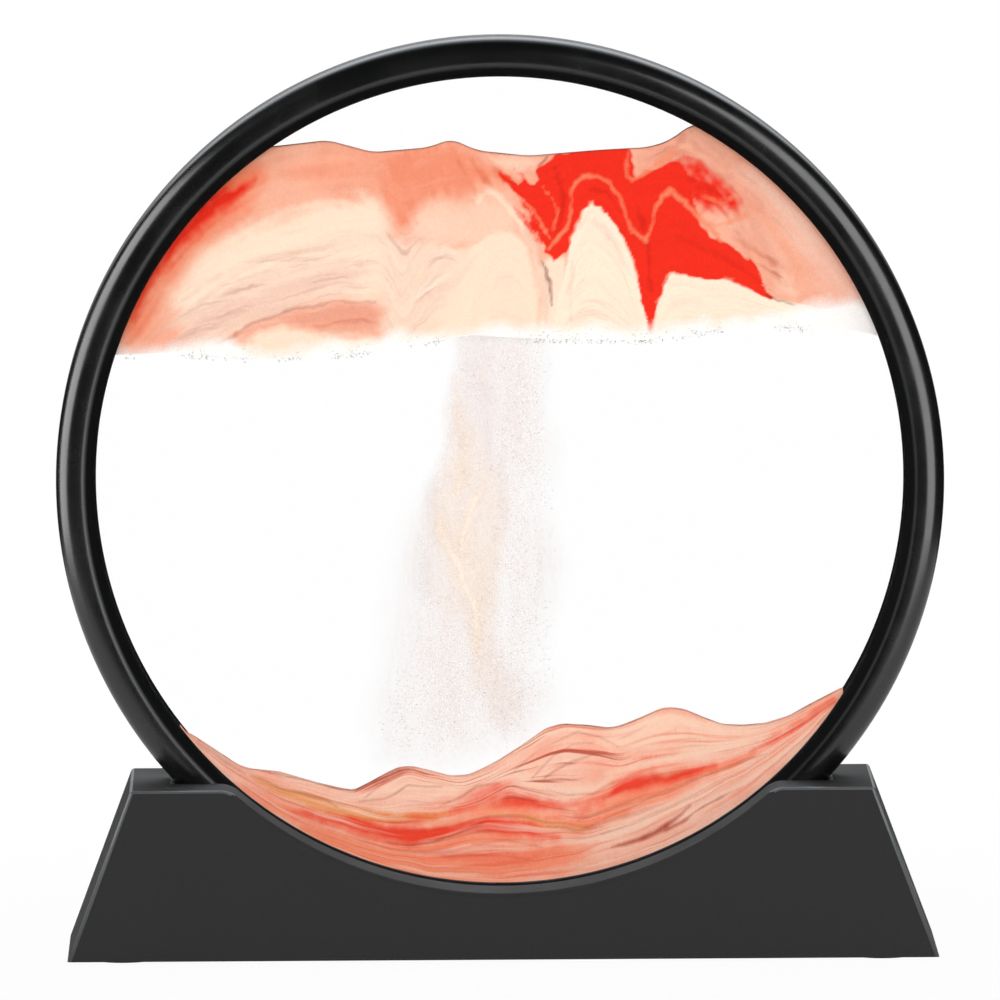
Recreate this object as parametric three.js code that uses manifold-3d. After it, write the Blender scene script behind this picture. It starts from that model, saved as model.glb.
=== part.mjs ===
// A round moving sand picture: a sealed glass cell of coloured sand and clear liquid in a two-part black
// ring, which stands and turns in a slotted base. Millimetres, +Z up, the front towards -Y, and the origin
// on the table under the middle of the base.

import * as THREE from 'three';
import { mergeVertices } from 'three/addons/utils/BufferGeometryUtils.js';
import Module from 'manifold-3d';

const wasm = await Module();
wasm.setup();

// Ring of two bezels
const ringDiameter = 180;
const rimWall = 3.5;
const lipWidth = 4.5; // from the rim wall in to the opening
const lipThickness = 4.1;
const rimRound = 4;
const openingRound = 3.6;
const seamChamfer = 0.3;
const pegCount = 8; // pegs of the front bezel that key into the rear one
const pegDiameter = 1.6;
const pegLength = 3;

// Sealed cell, from the middle outwards
const cellDepth = 4; // between the panes
const paneThickness = 2;
const gasketThickness = 0.6;
const paneEdgeGap = 0.5; // pane to rim wall
const spacerSetback = 0.5; // spacer behind the edge of the opening
const gasketSetback = 0.3;

// Fill port at the foot of the rim
const portWall = 0.5; // spacer left beside the port
const plugHeadDiameter = 5;
const plugHeadHeight = 1.2;
const plugSink = 0.4; // head below the rim's surface

// Contents of the cell
const bubbleDepth = 1.8;
const curtainThickness = 1;

// Base
const baseTop = 35; // height above the table
const baseWall = 2.4;
const troughWall = 2.2;
const endLand = 8.6; // flat top beyond each end of the slot
const endFlare = 12.8; // lean of each end over the height
const sideLand = 15.6; // flat top in front of the slot and behind it
const sideFlare = 2;
const shoulderRound = 5; // where the saddle's arc meets the flat top
const leastRound = 0.5; // the same corner inside the wall

// Underside of the base
const plateThickness = 2.7;
const footDiameter = 12;
const footHeight = 0.5;
const footEdge = 0.2;
const footInset = 1.4; // foot to the edge of the plate
const bossDiameter = 7;
const screwDiameter = 2.9;
const screwHeadDiameter = 5.6;
const screwHeadHeight = 1.7;
const screwLength = 10;
const screwTip = 1.5;

// Clearances
const seatGap = 0.1; // between flat faces that lie on each other
const fitGap = 0.3; // round a piece in its hole, and between the contents
const slotSideGap = 0.4;

// Facets
const ringSegments = 72;
const roundSteps = 4;
const holeSegments = 12;
const lineSteps = 36;
const mergeDistance = 1e-4; // corners nearer than this are one

// Ring sizes that follow
const ringRadius = ringDiameter / 2;
const rimInner = ringRadius - rimWall;
const openingRadius = rimInner - lipWidth;
const paneRadius = rimInner - paneEdgeGap;
const spacerInner = openingRadius + spacerSetback;
const paneInner = cellDepth / 2 + seatGap;
const paneOuter = paneInner + paneThickness;
const gasketInner = paneOuter + seatGap;
const lipBack = gasketInner + gasketThickness + seatGap;
const ringHalfDepth = lipBack + lipThickness;
const contentRadius = spacerInner - fitGap;
const contentDepth = cellDepth - 2 * fitGap;
const plugFace = ringRadius - plugSink;
const shankRadius = cellDepth / 2 - portWall - fitGap;
const reach = 2 * ringRadius; // well past the cell, for cutting shapes

// Base heights and outline that follow
const underside = footHeight + seatGap;
const plateTop = underside + plateThickness;
const slotFloor = plateTop + seatGap + troughWall;
const ringCentre = slotFloor + fitGap + ringRadius;
const slotRadius = ringRadius + fitGap;
const slotHalf = ringHalfDepth + slotSideGap;
const troughHalf = slotHalf + troughWall;
const topHalfLength = Math.sqrt(slotRadius ** 2 - (ringCentre - baseTop) ** 2) + endLand;
const topHalfDepth = slotHalf + sideLand;
const baseHeight = baseTop - underside;
const ceiling = baseTop - baseWall;
const endWall = baseWall * Math.hypot(1, endFlare / baseHeight); // measured level through the leaning end
const sideWall = baseWall * Math.hypot(1, sideFlare / baseHeight);
const shoulderDrop = ringCentre - baseTop + shoulderRound;
const shoulderX = Math.sqrt((openingRadius + shoulderRound) ** 2 - shoulderDrop ** 2);
const plateHalfLength = halfLengthAt(plateTop) - endWall - fitGap;
const plateHalfDepth = halfDepthAt(plateTop) - sideWall - fitGap;
const bossX = (shoulderX + topHalfLength - endWall) / 2;
const bossY = (troughHalf + topHalfDepth - sideWall) / 2;
const footX = plateHalfLength - footInset - footDiameter / 2;
const cornerNames = [
  ['front_left', -1, -1],
  ['front_right', 1, -1],
  ['rear_left', -1, 1],
  ['rear_right', 1, 1],
];

// Edges of the sand masses, left to right, as shares of the cell's radius about its centre
const upperTopShares = [
  [-0.555, 0.824], [-0.42, 0.838], [-0.309, 0.808], [-0.173, 0.819], [-0.116, 0.84], [-0.05, 0.81],
  [0.074, 0.797], [0.247, 0.81], [0.37, 0.816], [0.42, 0.831], [0.477, 0.872],
];
const creamTopShares = [
  [-0.94, 0.345], [-0.78, 0.45], [-0.58, 0.6], [-0.3, 0.66], [-0.1, 0.6], [0.08, 0.58], [0.22, 0.64],
  [0.36, 0.56], [0.54, 0.5], [0.66, 0.42], [0.9, 0.4],
];
const upperBottomShares = [
  [-0.955, 0.313], [-0.827, 0.318], [-0.592, 0.3], [-0.296, 0.318], [-0.074, 0.359], [0.111, 0.347],
  [0.37, 0.342], [0.617, 0.378], [0.9, 0.36],
];
const crestShares = [
  [-0.794, -0.616], [-0.641, -0.709], [-0.468, -0.752], [-0.37, -0.771], [-0.247, -0.712], [-0.123, -0.737],
  [0, -0.687], [0.148, -0.613], [0.276, -0.62], [0.408, -0.569], [0.543, -0.613], [0.641, -0.613],
  [0.741, -0.579], [0.847, -0.522],
];
const redTopShares = [
  [-0.72, -0.7], [-0.6, -0.755], [-0.429, -0.8], [-0.319, -0.831], [-0.153, -0.824], [0.024, -0.759],
  [0.18, -0.808], [0.353, -0.735], [0.55, -0.702], [0.662, -0.665], [0.797, -0.577], [0.86, -0.54],
];
const salmonTopShares = [
  [-0.62, -0.785], [-0.429, -0.853], [-0.237, -0.901], [-0.045, -0.848], [0.22, -0.875], [0.384, -0.831],
  [0.605, -0.726], [0.715, -0.661], [0.8, -0.6],
];

// Edges of the falling curtain, from the crest up
const curtainLeftShares = [[-0.3, -0.78], [-0.25, -0.55], [-0.175, -0.3], [-0.15, 0], [-0.11, 0.36]];
const curtainRightShares = [[0.15, -0.66], [0.11, -0.5], [0.085, -0.3], [0.11, 0], [0.15, 0.36]];

// Outline of the red mass in the upper sand, which runs out past the top edge and down to one point
const redOutlineShares = [
  [0.1, 0.7], [0.13, 0.52], [0.21, 0.64], [0.31, 0.56], [0.375, 0.41], [0.43, 0.51], [0.63, 0.47],
  [0.56, 0.68], [0.38, 0.87], [0.15, 0.87],
];
const redDivideShare = 0.27; // the red mass parts the peach sand here

function halfLengthAt(z) {
  return topHalfLength + endFlare * (baseTop - z) / baseHeight;
}

function halfDepthAt(z) {
  return topHalfDepth + sideFlare * (baseTop - z) / baseHeight;
}

// Joins the shared corners of a closed geometry into one solid.
function solid(geometry) {
  geometry.deleteAttribute('normal');
  geometry.deleteAttribute('uv');
  const merged = mergeVertices(geometry, mergeDistance);
  const corners = merged.index.array;
  const kept = [];
  for (let i = 0; i < corners.length; i += 3) {
    const [a, b, c] = corners.slice(i, i + 3);
    if (a !== b && b !== c && c !== a) kept.push(a, b, c);
  }
  return new wasm.Manifold(new wasm.Mesh({
    numProp: 3,
    vertProperties: merged.attributes.position.array,
    triVerts: Uint32Array.from(kept),
  }));
}

function mesh(name, shape, material) {
  const { vertProperties, triVerts } = shape.getMesh();
  const geometry = new THREE.BufferGeometry();
  geometry.setAttribute('position', new THREE.BufferAttribute(vertProperties, 3));
  geometry.setIndex(new THREE.BufferAttribute(triVerts, 1));
  geometry.computeVertexNormals();
  const piece = new THREE.Mesh(geometry, material);
  piece.name = name;
  return piece;
}

function finish(color, roughness, metalness = 0, opacity = 1) {
  return new THREE.MeshStandardMaterial({
    color,
    roughness,
    metalness,
    opacity,
    transparent: opacity < 1,
    flatShading: true,
  });
}

const blackGlossAbs = () => finish(0x131415, 0.3);
const darkSatinAbs = () => finish(0x323233, 0.5);
const clearGlass = () => finish(0xf4f8f8, 0.03, 0, 0.2);
const clearLiquid = () => finish(0xfbfcfc, 0.05, 0, 0.15);
const blackRubber = () => finish(0x1a1a1a, 0.85);
const zincSteel = () => finish(0xa6a9ac, 0.35, 0.9);
const sand = (color) => finish(color, 0.9);

function circlePart(x, y, radius, fromDegrees, toDegrees, steps) {
  return Array.from({ length: steps + 1 }, (_, i) => {
    const angle = THREE.MathUtils.degToRad(fromDegrees + (toDegrees - fromDegrees) * i / steps);
    return new THREE.Vector2(x + radius * Math.cos(angle), y + radius * Math.sin(angle));
  });
}

// Turns a section about the ring's axis, Y. The section runs anticlockwise and is closed here.
function turned(section, segments = ringSegments) {
  const distinct = section.filter((p, i) => p.distanceTo(section.at(i - 1)) > mergeDistance);
  return solid(new THREE.LatheGeometry([...distinct, distinct[0]], segments));
}

// Turns a profile that starts and ends on the axis, with its axis laid along Z.
function turnedUpright(profile, segments = holeSegments) {
  const points = profile.map(([r, z]) => new THREE.Vector2(r, z));
  return solid(new THREE.LatheGeometry(points, segments).rotateX(Math.PI / 2));
}

function band(inner, outer, y0, y1) {
  return turned([
    new THREE.Vector2(inner, y0),
    new THREE.Vector2(outer, y0),
    new THREE.Vector2(outer, y1),
    new THREE.Vector2(inner, y1),
  ]);
}

function disc(radius, depth) {
  return solid(new THREE.CylinderGeometry(radius, radius, depth, ringSegments));
}

// A round bar along Y between two depths.
function barAlongY(radius, y0, y1) {
  const bar = new THREE.CylinderGeometry(radius, radius, y1 - y0, holeSegments);
  return solid(bar.translate(0, (y0 + y1) / 2, 0));
}

function barAlongZ(radius, z0, z1) {
  const bar = new THREE.CylinderGeometry(radius, radius, z1 - z0, holeSegments);
  return solid(bar.rotateX(Math.PI / 2).translate(0, 0, (z0 + z1) / 2));
}

// A plate of an outline in X and Z, with its thickness centred on Y.
function slab(outline, depth) {
  const shape = new THREE.Shape(outline);
  const geometry = new THREE.ExtrudeGeometry(shape, { depth, bevelEnabled: false });
  return solid(geometry.translate(0, 0, -depth / 2).rotateX(Math.PI / 2));
}

function taperedBlock(lowHalfX, lowHalfY, z0, topHalfX, topHalfY, z1) {
  const geometry = new THREE.BoxGeometry(2, 2, 2);
  const corners = geometry.attributes.position;
  for (let i = 0; i < corners.count; i += 1) {
    const top = corners.getZ(i) > 0;
    const halfX = top ? topHalfX : lowHalfX;
    const halfY = top ? topHalfY : lowHalfY;
    corners.setXYZ(i, corners.getX(i) * halfX, corners.getY(i) * halfY, top ? z1 : z0);
  }
  return solid(geometry);
}

// Ring

function frontBezelSection() {
  const face = -ringHalfDepth;
  const seam = -seatGap / 2;
  const rim = Math.min(rimRound, rimWall + lipWidth - openingRound, ringHalfDepth - seatGap - seamChamfer);
  const edge = Math.min(openingRound, lipThickness);
  return [
    ...circlePart(openingRadius + edge, face + edge, edge, 180, 270, roundSteps),
    ...circlePart(ringRadius - rim, face + rim, rim, 270, 360, roundSteps + 1),
    new THREE.Vector2(ringRadius, seam - seamChamfer),
    new THREE.Vector2(ringRadius - seamChamfer, seam),
    new THREE.Vector2(rimInner, seam),
    new THREE.Vector2(rimInner, -lipBack),
    new THREE.Vector2(openingRadius, -lipBack),
  ];
}

function pegs(radius, y0, y1) {
  const distance = ringRadius - rimWall / 2;
  return Array.from({ length: pegCount }, (_, i) => {
    const angle = (i + 0.5) * 2 * Math.PI / pegCount;
    return barAlongY(radius, y0, y1).translate([distance * Math.cos(angle), 0, distance * Math.sin(angle)]);
  });
}

function fillPort() {
  const bore = barAlongZ(shankRadius + fitGap, -reach, -openingRadius);
  const seat = barAlongZ(plugHeadDiameter / 2 + fitGap, -reach, plugHeadHeight + seatGap - plugFace);
  return bore.add(seat);
}

function fillPlug() {
  const head = plugHeadDiameter / 2;
  const length = plugFace - spacerInner - fitGap;
  const plug = turnedUpright([
    [0, 0],
    [head, 0],
    [head, plugHeadHeight],
    [shankRadius, plugHeadHeight],
    [shankRadius, length],
    [0, length],
  ]);
  return plug.translate([0, 0, -plugFace]);
}

function frontBezel() {
  const shell = turned(frontBezelSection());
  const keyed = pegs(pegDiameter / 2, -rimWall / 2, pegLength).reduce((body, peg) => body.add(peg), shell);
  return keyed.subtract(fillPort());
}

function rearBezel() {
  const section = frontBezelSection().map((p) => new THREE.Vector2(p.x, -p.y)).reverse();
  const sockets = pegs(pegDiameter / 2 + fitGap, -rimWall, pegLength + fitGap);
  const socketed = sockets.reduce((body, socket) => body.subtract(socket), turned(section));
  return socketed.subtract(fillPort());
}

function ringPieces() {
  const pane = disc(paneRadius, paneThickness);
  const paneCentre = paneInner + paneThickness / 2;
  const gasket = band(openingRadius + gasketSetback, paneRadius, -gasketThickness / 2, gasketThickness / 2);
  const gasketCentre = gasketInner + gasketThickness / 2;
  const spacer = band(spacerInner, paneRadius, -cellDepth / 2, cellDepth / 2);
  return [
    mesh('front_bezel', frontBezel(), blackGlossAbs()),
    mesh('rear_bezel', rearBezel(), blackGlossAbs()),
    mesh('front_glass', pane.translate([0, -paneCentre, 0]), clearGlass()),
    mesh('rear_glass', pane.translate([0, paneCentre, 0]), clearGlass()),
    mesh('cell_spacer', spacer.subtract(fillPort()), blackRubber()),
    mesh('front_gasket', gasket.translate([0, -gasketCentre, 0]), blackRubber()),
    mesh('rear_gasket', gasket.translate([0, gasketCentre, 0]), blackRubber()),
    mesh('fill_plug', fillPlug(), blackRubber()),
  ];
}

// Contents of the cell

function smoothLine(shares, shiftX = 0, shiftZ = 0) {
  const shift = new THREE.Vector2(shiftX, shiftZ);
  const points = shares.map(([x, z]) => new THREE.Vector2(x, z).multiplyScalar(contentRadius).add(shift));
  return new THREE.SplineCurve(points).getPoints(lineSteps);
}

// All of the cell under a line that runs from left to right.
function below(shares, lift = 0) {
  const line = smoothLine(shares, 0, lift);
  return slab([
    ...line,
    new THREE.Vector2(reach, line.at(-1).y),
    new THREE.Vector2(reach, -reach),
    new THREE.Vector2(-reach, -reach),
    new THREE.Vector2(-reach, line[0].y),
  ], reach);
}

// All of the cell to one side of a line that runs upwards: side -1 is the left, 1 the right.
function beside(shares, side, shift = 0) {
  const line = smoothLine(shares, shift, 0);
  return slab([
    ...line,
    new THREE.Vector2(line.at(-1).x, reach),
    new THREE.Vector2(side * reach, reach),
    new THREE.Vector2(side * reach, -reach),
    new THREE.Vector2(line[0].x, -reach),
  ], reach);
}

// A closed patch, with each straight side moved out by a margin.
function patch(shares, margin) {
  const corners = shares.map(([x, z]) => new THREE.Vector3(x * contentRadius, z * contentRadius, 0));
  const loop = new THREE.CatmullRomCurve3(corners, true).getPoints(lineSteps).slice(1);
  const outward = loop.map((p, i) => {
    const side = p.clone().sub(loop.at(i - 1)).normalize();
    return new THREE.Vector2(side.y, -side.x);
  });
  const outline = loop.map((p, i) => {
    const before = outward[i];
    const after = outward[(i + 1) % loop.length];
    const shift = before.clone().add(after).multiplyScalar(margin / (1 + before.dot(after)));
    return shift.add(p);
  });
  return slab(outline, reach);
}

function upperSand(cell) {
  const mass = cell.intersect(below(upperTopShares)).subtract(below(upperBottomShares));
  const withoutRed = mass.subtract(patch(redOutlineShares, fitGap));
  const peach = withoutRed.subtract(below(creamTopShares, fitGap));
  const divide = [[redDivideShare, -1], [redDivideShare, 1]];
  return [
    mesh('upper_sand_red', mass.intersect(patch(redOutlineShares, 0)), sand(0xf52c22)),
    mesh('upper_sand_cream', withoutRed.intersect(below(creamTopShares)), sand(0xfde3cb)),
    mesh('upper_sand_peach_left', peach.intersect(beside(divide, -1)), sand(0xf5ab8c)),
    mesh('upper_sand_peach_right', peach.intersect(beside(divide, 1)), sand(0xf6ae90)),
  ];
}

function lowerSand(cell) {
  const salmon = cell.intersect(below(salmonTopShares));
  const red = cell.intersect(below(redTopShares)).subtract(below(salmonTopShares, fitGap));
  const peach = cell.intersect(below(crestShares)).subtract(below(redTopShares, fitGap));
  return [
    mesh('lower_sand_salmon', salmon, sand(0xf59a7c)),
    mesh('lower_sand_red', red, sand(0xf06a4b)),
    mesh('lower_sand_peach', peach, sand(0xf2b695)),
  ];
}

function liquidAndFall(cell) {
  const bubbleFoot = -fitGap - bubbleDepth;
  const underSand = cell.intersect(below(upperBottomShares, -fitGap));
  const bubbles = underSand.subtract(below(upperBottomShares, bubbleFoot));
  const underBubbles = cell.intersect(below(upperBottomShares, bubbleFoot - fitGap));
  const open = underBubbles.subtract(below(crestShares, fitGap));
  const sheet = disc(contentRadius, curtainThickness);
  const fall = open.intersect(beside(curtainLeftShares, 1)).intersect(beside(curtainRightShares, -1));
  return [
    mesh('bubble_layer', bubbles, clearLiquid()),
    mesh('falling_sand', fall.intersect(sheet), sand(0xf6e8de)),
    mesh('liquid_above', cell.subtract(below(upperTopShares, fitGap)), clearLiquid()),
    mesh('liquid_left', open.intersect(beside(curtainLeftShares, -1, -fitGap)), clearLiquid()),
    mesh('liquid_right', open.intersect(beside(curtainRightShares, 1, fitGap)), clearLiquid()),
  ];
}

function ring() {
  const cell = disc(contentRadius, contentDepth);
  const group = new THREE.Group();
  group.add(...ringPieces(), ...upperSand(cell), ...lowerSand(cell), ...liquidAndFall(cell));
  group.position.z = ringCentre;
  return group;
}

// Base

// Everything above the saddle's arc and the flat top, moved into the material by an inset.
function saddleCut(inset) {
  const round = Math.max(shoulderRound - inset, leastRound);
  const top = baseTop - inset;
  const radius = openingRadius + inset;
  const drop = ringCentre - top + round;
  const x = Math.sqrt((radius + round) ** 2 - drop ** 2);
  const turn = THREE.MathUtils.radToDeg(Math.atan2(drop, x));
  return slab([
    new THREE.Vector2(-reach, top),
    ...circlePart(-x, top - round, round, 90, turn, roundSteps),
    ...circlePart(0, ringCentre, radius, 180 + turn, 360 - turn, lineSteps).slice(1, -1),
    ...circlePart(x, top - round, round, 180 - turn, 90, roundSteps),
    new THREE.Vector2(reach, top),
    new THREE.Vector2(reach, reach + top),
    new THREE.Vector2(-reach, reach + top),
  ], reach);
}

function ringSlot(margin) {
  return disc(slotRadius + margin, 2 * (slotHalf + margin)).translate([0, 0, ringCentre]);
}

function baseHollow() {
  const low = underside - baseWall;
  const hollow = taperedBlock(
    halfLengthAt(low) - endWall, halfDepthAt(low) - sideWall, low,
    halfLengthAt(ceiling) - endWall, halfDepthAt(ceiling) - sideWall, ceiling,
  );
  const clear = hollow.subtract(ringSlot(troughWall)).subtract(saddleCut(baseWall));
  const pilotRadius = screwDiameter / 2 + fitGap;
  return cornerNames.reduce((left, [, sideX, sideY]) => {
    const place = [sideX * bossX, sideY * bossY, 0];
    const boss = barAlongZ(bossDiameter / 2, plateTop + seatGap, baseTop);
    const pilot = barAlongZ(pilotRadius, underside, underside + screwLength + fitGap);
    return left.subtract(boss.translate(place)).add(pilot.translate(place));
  }, clear);
}

function baseShell() {
  const block = taperedBlock(
    halfLengthAt(underside), halfDepthAt(underside), underside, topHalfLength, topHalfDepth, baseTop,
  );
  return block.subtract(ringSlot(0)).subtract(saddleCut(0)).subtract(baseHollow());
}

function screwProfile(margin) {
  const head = screwHeadDiameter / 2 + margin;
  const shank = screwDiameter / 2 + margin;
  return [
    [0, 0], [head, 0], [shank, screwHeadHeight], [shank, screwLength - screwTip], [0, screwLength + margin],
  ];
}

function basePlate() {
  const plate = taperedBlock(
    plateHalfLength, plateHalfDepth, underside, plateHalfLength, plateHalfDepth, plateTop,
  );
  return cornerNames.reduce((body, [, sideX, sideY]) => {
    const sink = turnedUpright(screwProfile(fitGap)).translate([sideX * bossX, sideY * bossY, underside]);
    const mouth = barAlongZ(screwHeadDiameter / 2 + fitGap, 0, underside + seatGap);
    return body.subtract(sink).subtract(mouth.translate([sideX * bossX, sideY * bossY, 0]));
  }, plate);
}

function foot() {
  const radius = footDiameter / 2;
  return turnedUpright([
    [0, 0], [radius - footEdge, 0], [radius, footEdge], [radius, footHeight], [0, footHeight],
  ], 2 * holeSegments);
}

function base() {
  const group = new THREE.Group();
  group.add(mesh('base_shell', baseShell(), darkSatinAbs()));
  group.add(mesh('base_plate', basePlate(), darkSatinAbs()));
  for (const [corner, sideX, sideY] of cornerNames) {
    const pad = mesh(`foot_${corner}`, foot(), blackRubber());
    pad.position.set(sideX * footX, sideY * bossY, 0);
    const screw = mesh(`plate_screw_${corner}`, turnedUpright(screwProfile(0)), zincSteel());
    screw.position.set(sideX * bossX, sideY * bossY, underside + seatGap);
    group.add(pad, screw);
  }
  return group;
}

const movingSandPicture = new THREE.Group();
movingSandPicture.add(ring(), base());

export default movingSandPicture;
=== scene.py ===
import math
import random

import bmesh
import bpy
import numpy as np
from mathutils import Matrix, Vector, noise


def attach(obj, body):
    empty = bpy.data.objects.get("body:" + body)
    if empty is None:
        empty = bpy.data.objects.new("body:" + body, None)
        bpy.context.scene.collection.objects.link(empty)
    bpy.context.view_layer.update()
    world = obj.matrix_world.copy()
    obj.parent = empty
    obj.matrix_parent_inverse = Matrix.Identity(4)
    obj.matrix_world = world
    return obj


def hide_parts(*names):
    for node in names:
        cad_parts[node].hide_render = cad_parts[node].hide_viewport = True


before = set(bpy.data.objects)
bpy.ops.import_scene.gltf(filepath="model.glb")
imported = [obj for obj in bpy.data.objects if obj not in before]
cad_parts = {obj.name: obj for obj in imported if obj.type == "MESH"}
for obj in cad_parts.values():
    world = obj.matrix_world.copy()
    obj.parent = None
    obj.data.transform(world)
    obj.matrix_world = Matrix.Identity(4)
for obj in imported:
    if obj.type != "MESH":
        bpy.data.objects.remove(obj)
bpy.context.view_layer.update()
scene = bpy.context.scene
mm = 0.001
hair = 1e-6  # a thousandth of a millimetre: places nearer than this coincide
tiny = 1e-9  # keeps a division by nothing from failing
print("frame loaded:", len(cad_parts), "nodes")


def linear(hexText):
    channels = [int(hexText[i:i + 2], 16) / 255 for i in (1, 3, 5)]
    return [c / 12.92 if c <= 0.04045 else ((c + 0.055) / 1.055) ** 2.4 for c in channels] + [1.0]


def addNode(tree, kind, settings=None, links=None):
    # a link is a socket, or a node that stands for its first output
    node = tree.nodes.new("ShaderNode" + kind)
    for key, value in (settings or {}).items():
        if isinstance(key, str) and hasattr(node, key):
            setattr(node, key, value)
        else:
            node.inputs[key].default_value = value
    for key, source in (links or {}).items():
        socket = source.outputs[0] if isinstance(source, bpy.types.Node) else source
        tree.links.new(socket, node.inputs[key])
    return node


def newMaterial(name):
    material = bpy.data.materials.new(name)
    material.use_nodes = True
    material.node_tree.nodes.clear()
    return material, material.node_tree


def makeObject(name, bm):
    mesh = bpy.data.meshes.new(name)
    bm.to_mesh(mesh)
    bm.free()
    made = bpy.data.objects.new(name, mesh)
    scene.collection.objects.link(made)
    return made


def makePiece(name, bm, material, body, standsFor=(), sharpAngle=35):
    bmesh.ops.recalc_face_normals(bm, faces=bm.faces[:])
    for face in bm.faces:
        face.smooth = True
    for edge in bm.edges:
        edge.smooth = edge.calc_face_angle(0) < math.radians(sharpAngle)
    piece = makeObject(name, bm)
    piece.data.materials.append(material)
    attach(piece, body)
    if standsFor:
        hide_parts(*standsFor)
    print("piece", name, len(piece.data.polygons), "faces")
    return piece


def applyModifiers(piece):
    sight = bpy.context.evaluated_depsgraph_get()
    shaped = bpy.data.meshes.new_from_object(piece.evaluated_get(sight))
    piece.modifiers.clear()
    piece.data = shaped


def soft(depth, width):
    # 0 to 1 across a soft edge of this width
    t = np.clip(0.5 + depth / width, 0, 1)
    return t * t * (3 - 2 * t)


def placesOf(piece):
    # a piece's points in millimetres about the middle of the ring
    flat = np.empty(len(piece.data.vertices) * 3, np.float32)
    piece.data.vertices.foreach_get("co", flat)
    x, y, z = (flat.reshape(-1, 3) / mm).T.astype(float)
    return x, y, z - ring["centre"]


def store(piece, name, values):
    layer = piece.data.attributes.new(name, "FLOAT", "POINT")
    layer.data.foreach_set("value", np.asarray(values, np.float32))


# Moulded plastics, rubber and steel: mottle mixes the two colours, patches vary the finish and grain gives the relief,
# each by its size in millimetres and the detail and roughness of its noise

# Gloss ABS from a polished mould: near black, clear highlights, faint orange peel and handling haze,
# left matt inside the lip
gloss = {
    "name": "black_gloss_abs", "colours": ("#070808", "#0d0e0e"), "mottle": (14, 5, 0.6), "patches": (14, 5, 0.6),
    "finish": {"From Min": 0.35, "From Max": 0.7, "To Min": 0.2, "To Max": 0.3},
    "grain": (1.6, 1), "relief": {"Strength": 0.25, "Distance": 0.02 * mm},
    "lip": 0.85, "lipShine": {"To Min": 0.75, "To Max": 0.05}, "shader": {"IOR": 1.55},
}
# Satin ABS from a spark-eroded mould: dark grey, even, with a fine grit; the 0.15 mm grit is drawn at 0.35 mm to show
satin = {
    "name": "dark_satin_abs", "colours": ("#29292a", "#2f2f30"), "mottle": (0.35, 2), "patches": (22, 4),
    "finish": {"From Min": 0.3, "From Max": 0.7, "To Min": 0.56, "To Max": 0.68},
    "grain": (0.35, 2), "relief": {"Strength": 0.3, "Distance": 0.03 * mm},
    "shader": {"IOR": 1.5, "Specular IOR Level": 0.1},
}
# The same plastic along its edges, rubbed smoother by handling; its paler colour there is a painted highlight along the
# edges
rubbedAndHighlit = {
    **satin, "name": "rubbed_satin_abs", "colours": ("#45484a", "#525557"), "patches": (9, 4),
    "finish": {"From Min": 0.3, "From Max": 0.7, "To Min": 0.3, "To Max": 0.42},
    "shader": {"IOR": 1.5, "Specular IOR Level": 0.6},
}
# Moulded rubber: matt black with a dusty bloom
rubber = {
    "name": "moulded_rubber", "colours": ("#141414", "#262524"), "mottle": (3, 4),
    "grain": (0.3, 2), "relief": {"Strength": 0.4, "Distance": 0.05 * mm}, "shader": {"IOR": 1.5, "Roughness": 0.82},
}
# Zinc-plated steel: bright grey metal with a cloudy plating
zinc = {
    "name": "zinc_plated_steel", "colours": ("#c4c6c8", "#a3a6a8"), "mottle": (1.2, 4), "patches": (1.2, 4),
    "finish": {"To Min": 0.25, "To Max": 0.5}, "shader": {"Metallic": 1.0},
}


def solidMaterial(look):
    material, tree = newMaterial(look["name"])
    place = addNode(tree, "TexCoord").outputs["Object"]
    patterns = {}
    for part in ("mottle", "patches", "grain"):
        if part in look:
            size, *rest = look[part]
            settings = {"Scale": 1 / (size * mm), **dict(zip(("Detail", "Roughness"), rest))}
            patterns[part] = addNode(tree, "TexNoise", settings, {"Vector": place})
    first, second = map(linear, look["colours"])
    colour = addNode(tree, "Mix", {"data_type": "RGBA", 6: first, 7: second}, {0: patterns["mottle"]})
    links = {"Base Color": colour.outputs[2]}
    if "finish" in look:
        links["Roughness"] = addNode(tree, "MapRange", look["finish"], {"Value": patterns["patches"]})
    if "relief" in look:
        links["Normal"] = addNode(tree, "Bump", look["relief"], {"Height": patterns["grain"]})
    if "lip" in look:
        lip = addNode(tree, "Attribute", {"attribute_name": "lip"}).outputs["Fac"]
        links["Roughness"] = addNode(tree, "Mix", {3: look["lip"]}, {0: lip, 2: links["Roughness"]})
        links["Specular IOR Level"] = addNode(tree, "MapRange", look["lipShine"], {"Value": lip})
    shader = addNode(tree, "BsdfPrincipled", look["shader"], links)
    addNode(tree, "OutputMaterial", {}, {"Surface": shader})
    return material


# Float glass and the clear water behind it: what lies behind shows through, with a faint gloss that grows towards
# the glass's edge-on view; the faces towards the water hardly reflect
panes = {"name": "float_glass", "tint": "#ffffff", "straight": 0.001, "grazing": 0.5, "smudgeSize": 18}
water = {"name": "clear_water", "tint": "#ffffff", "straight": 0.0008, "grazing": 0.0, "smudgeSize": 9}


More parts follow.
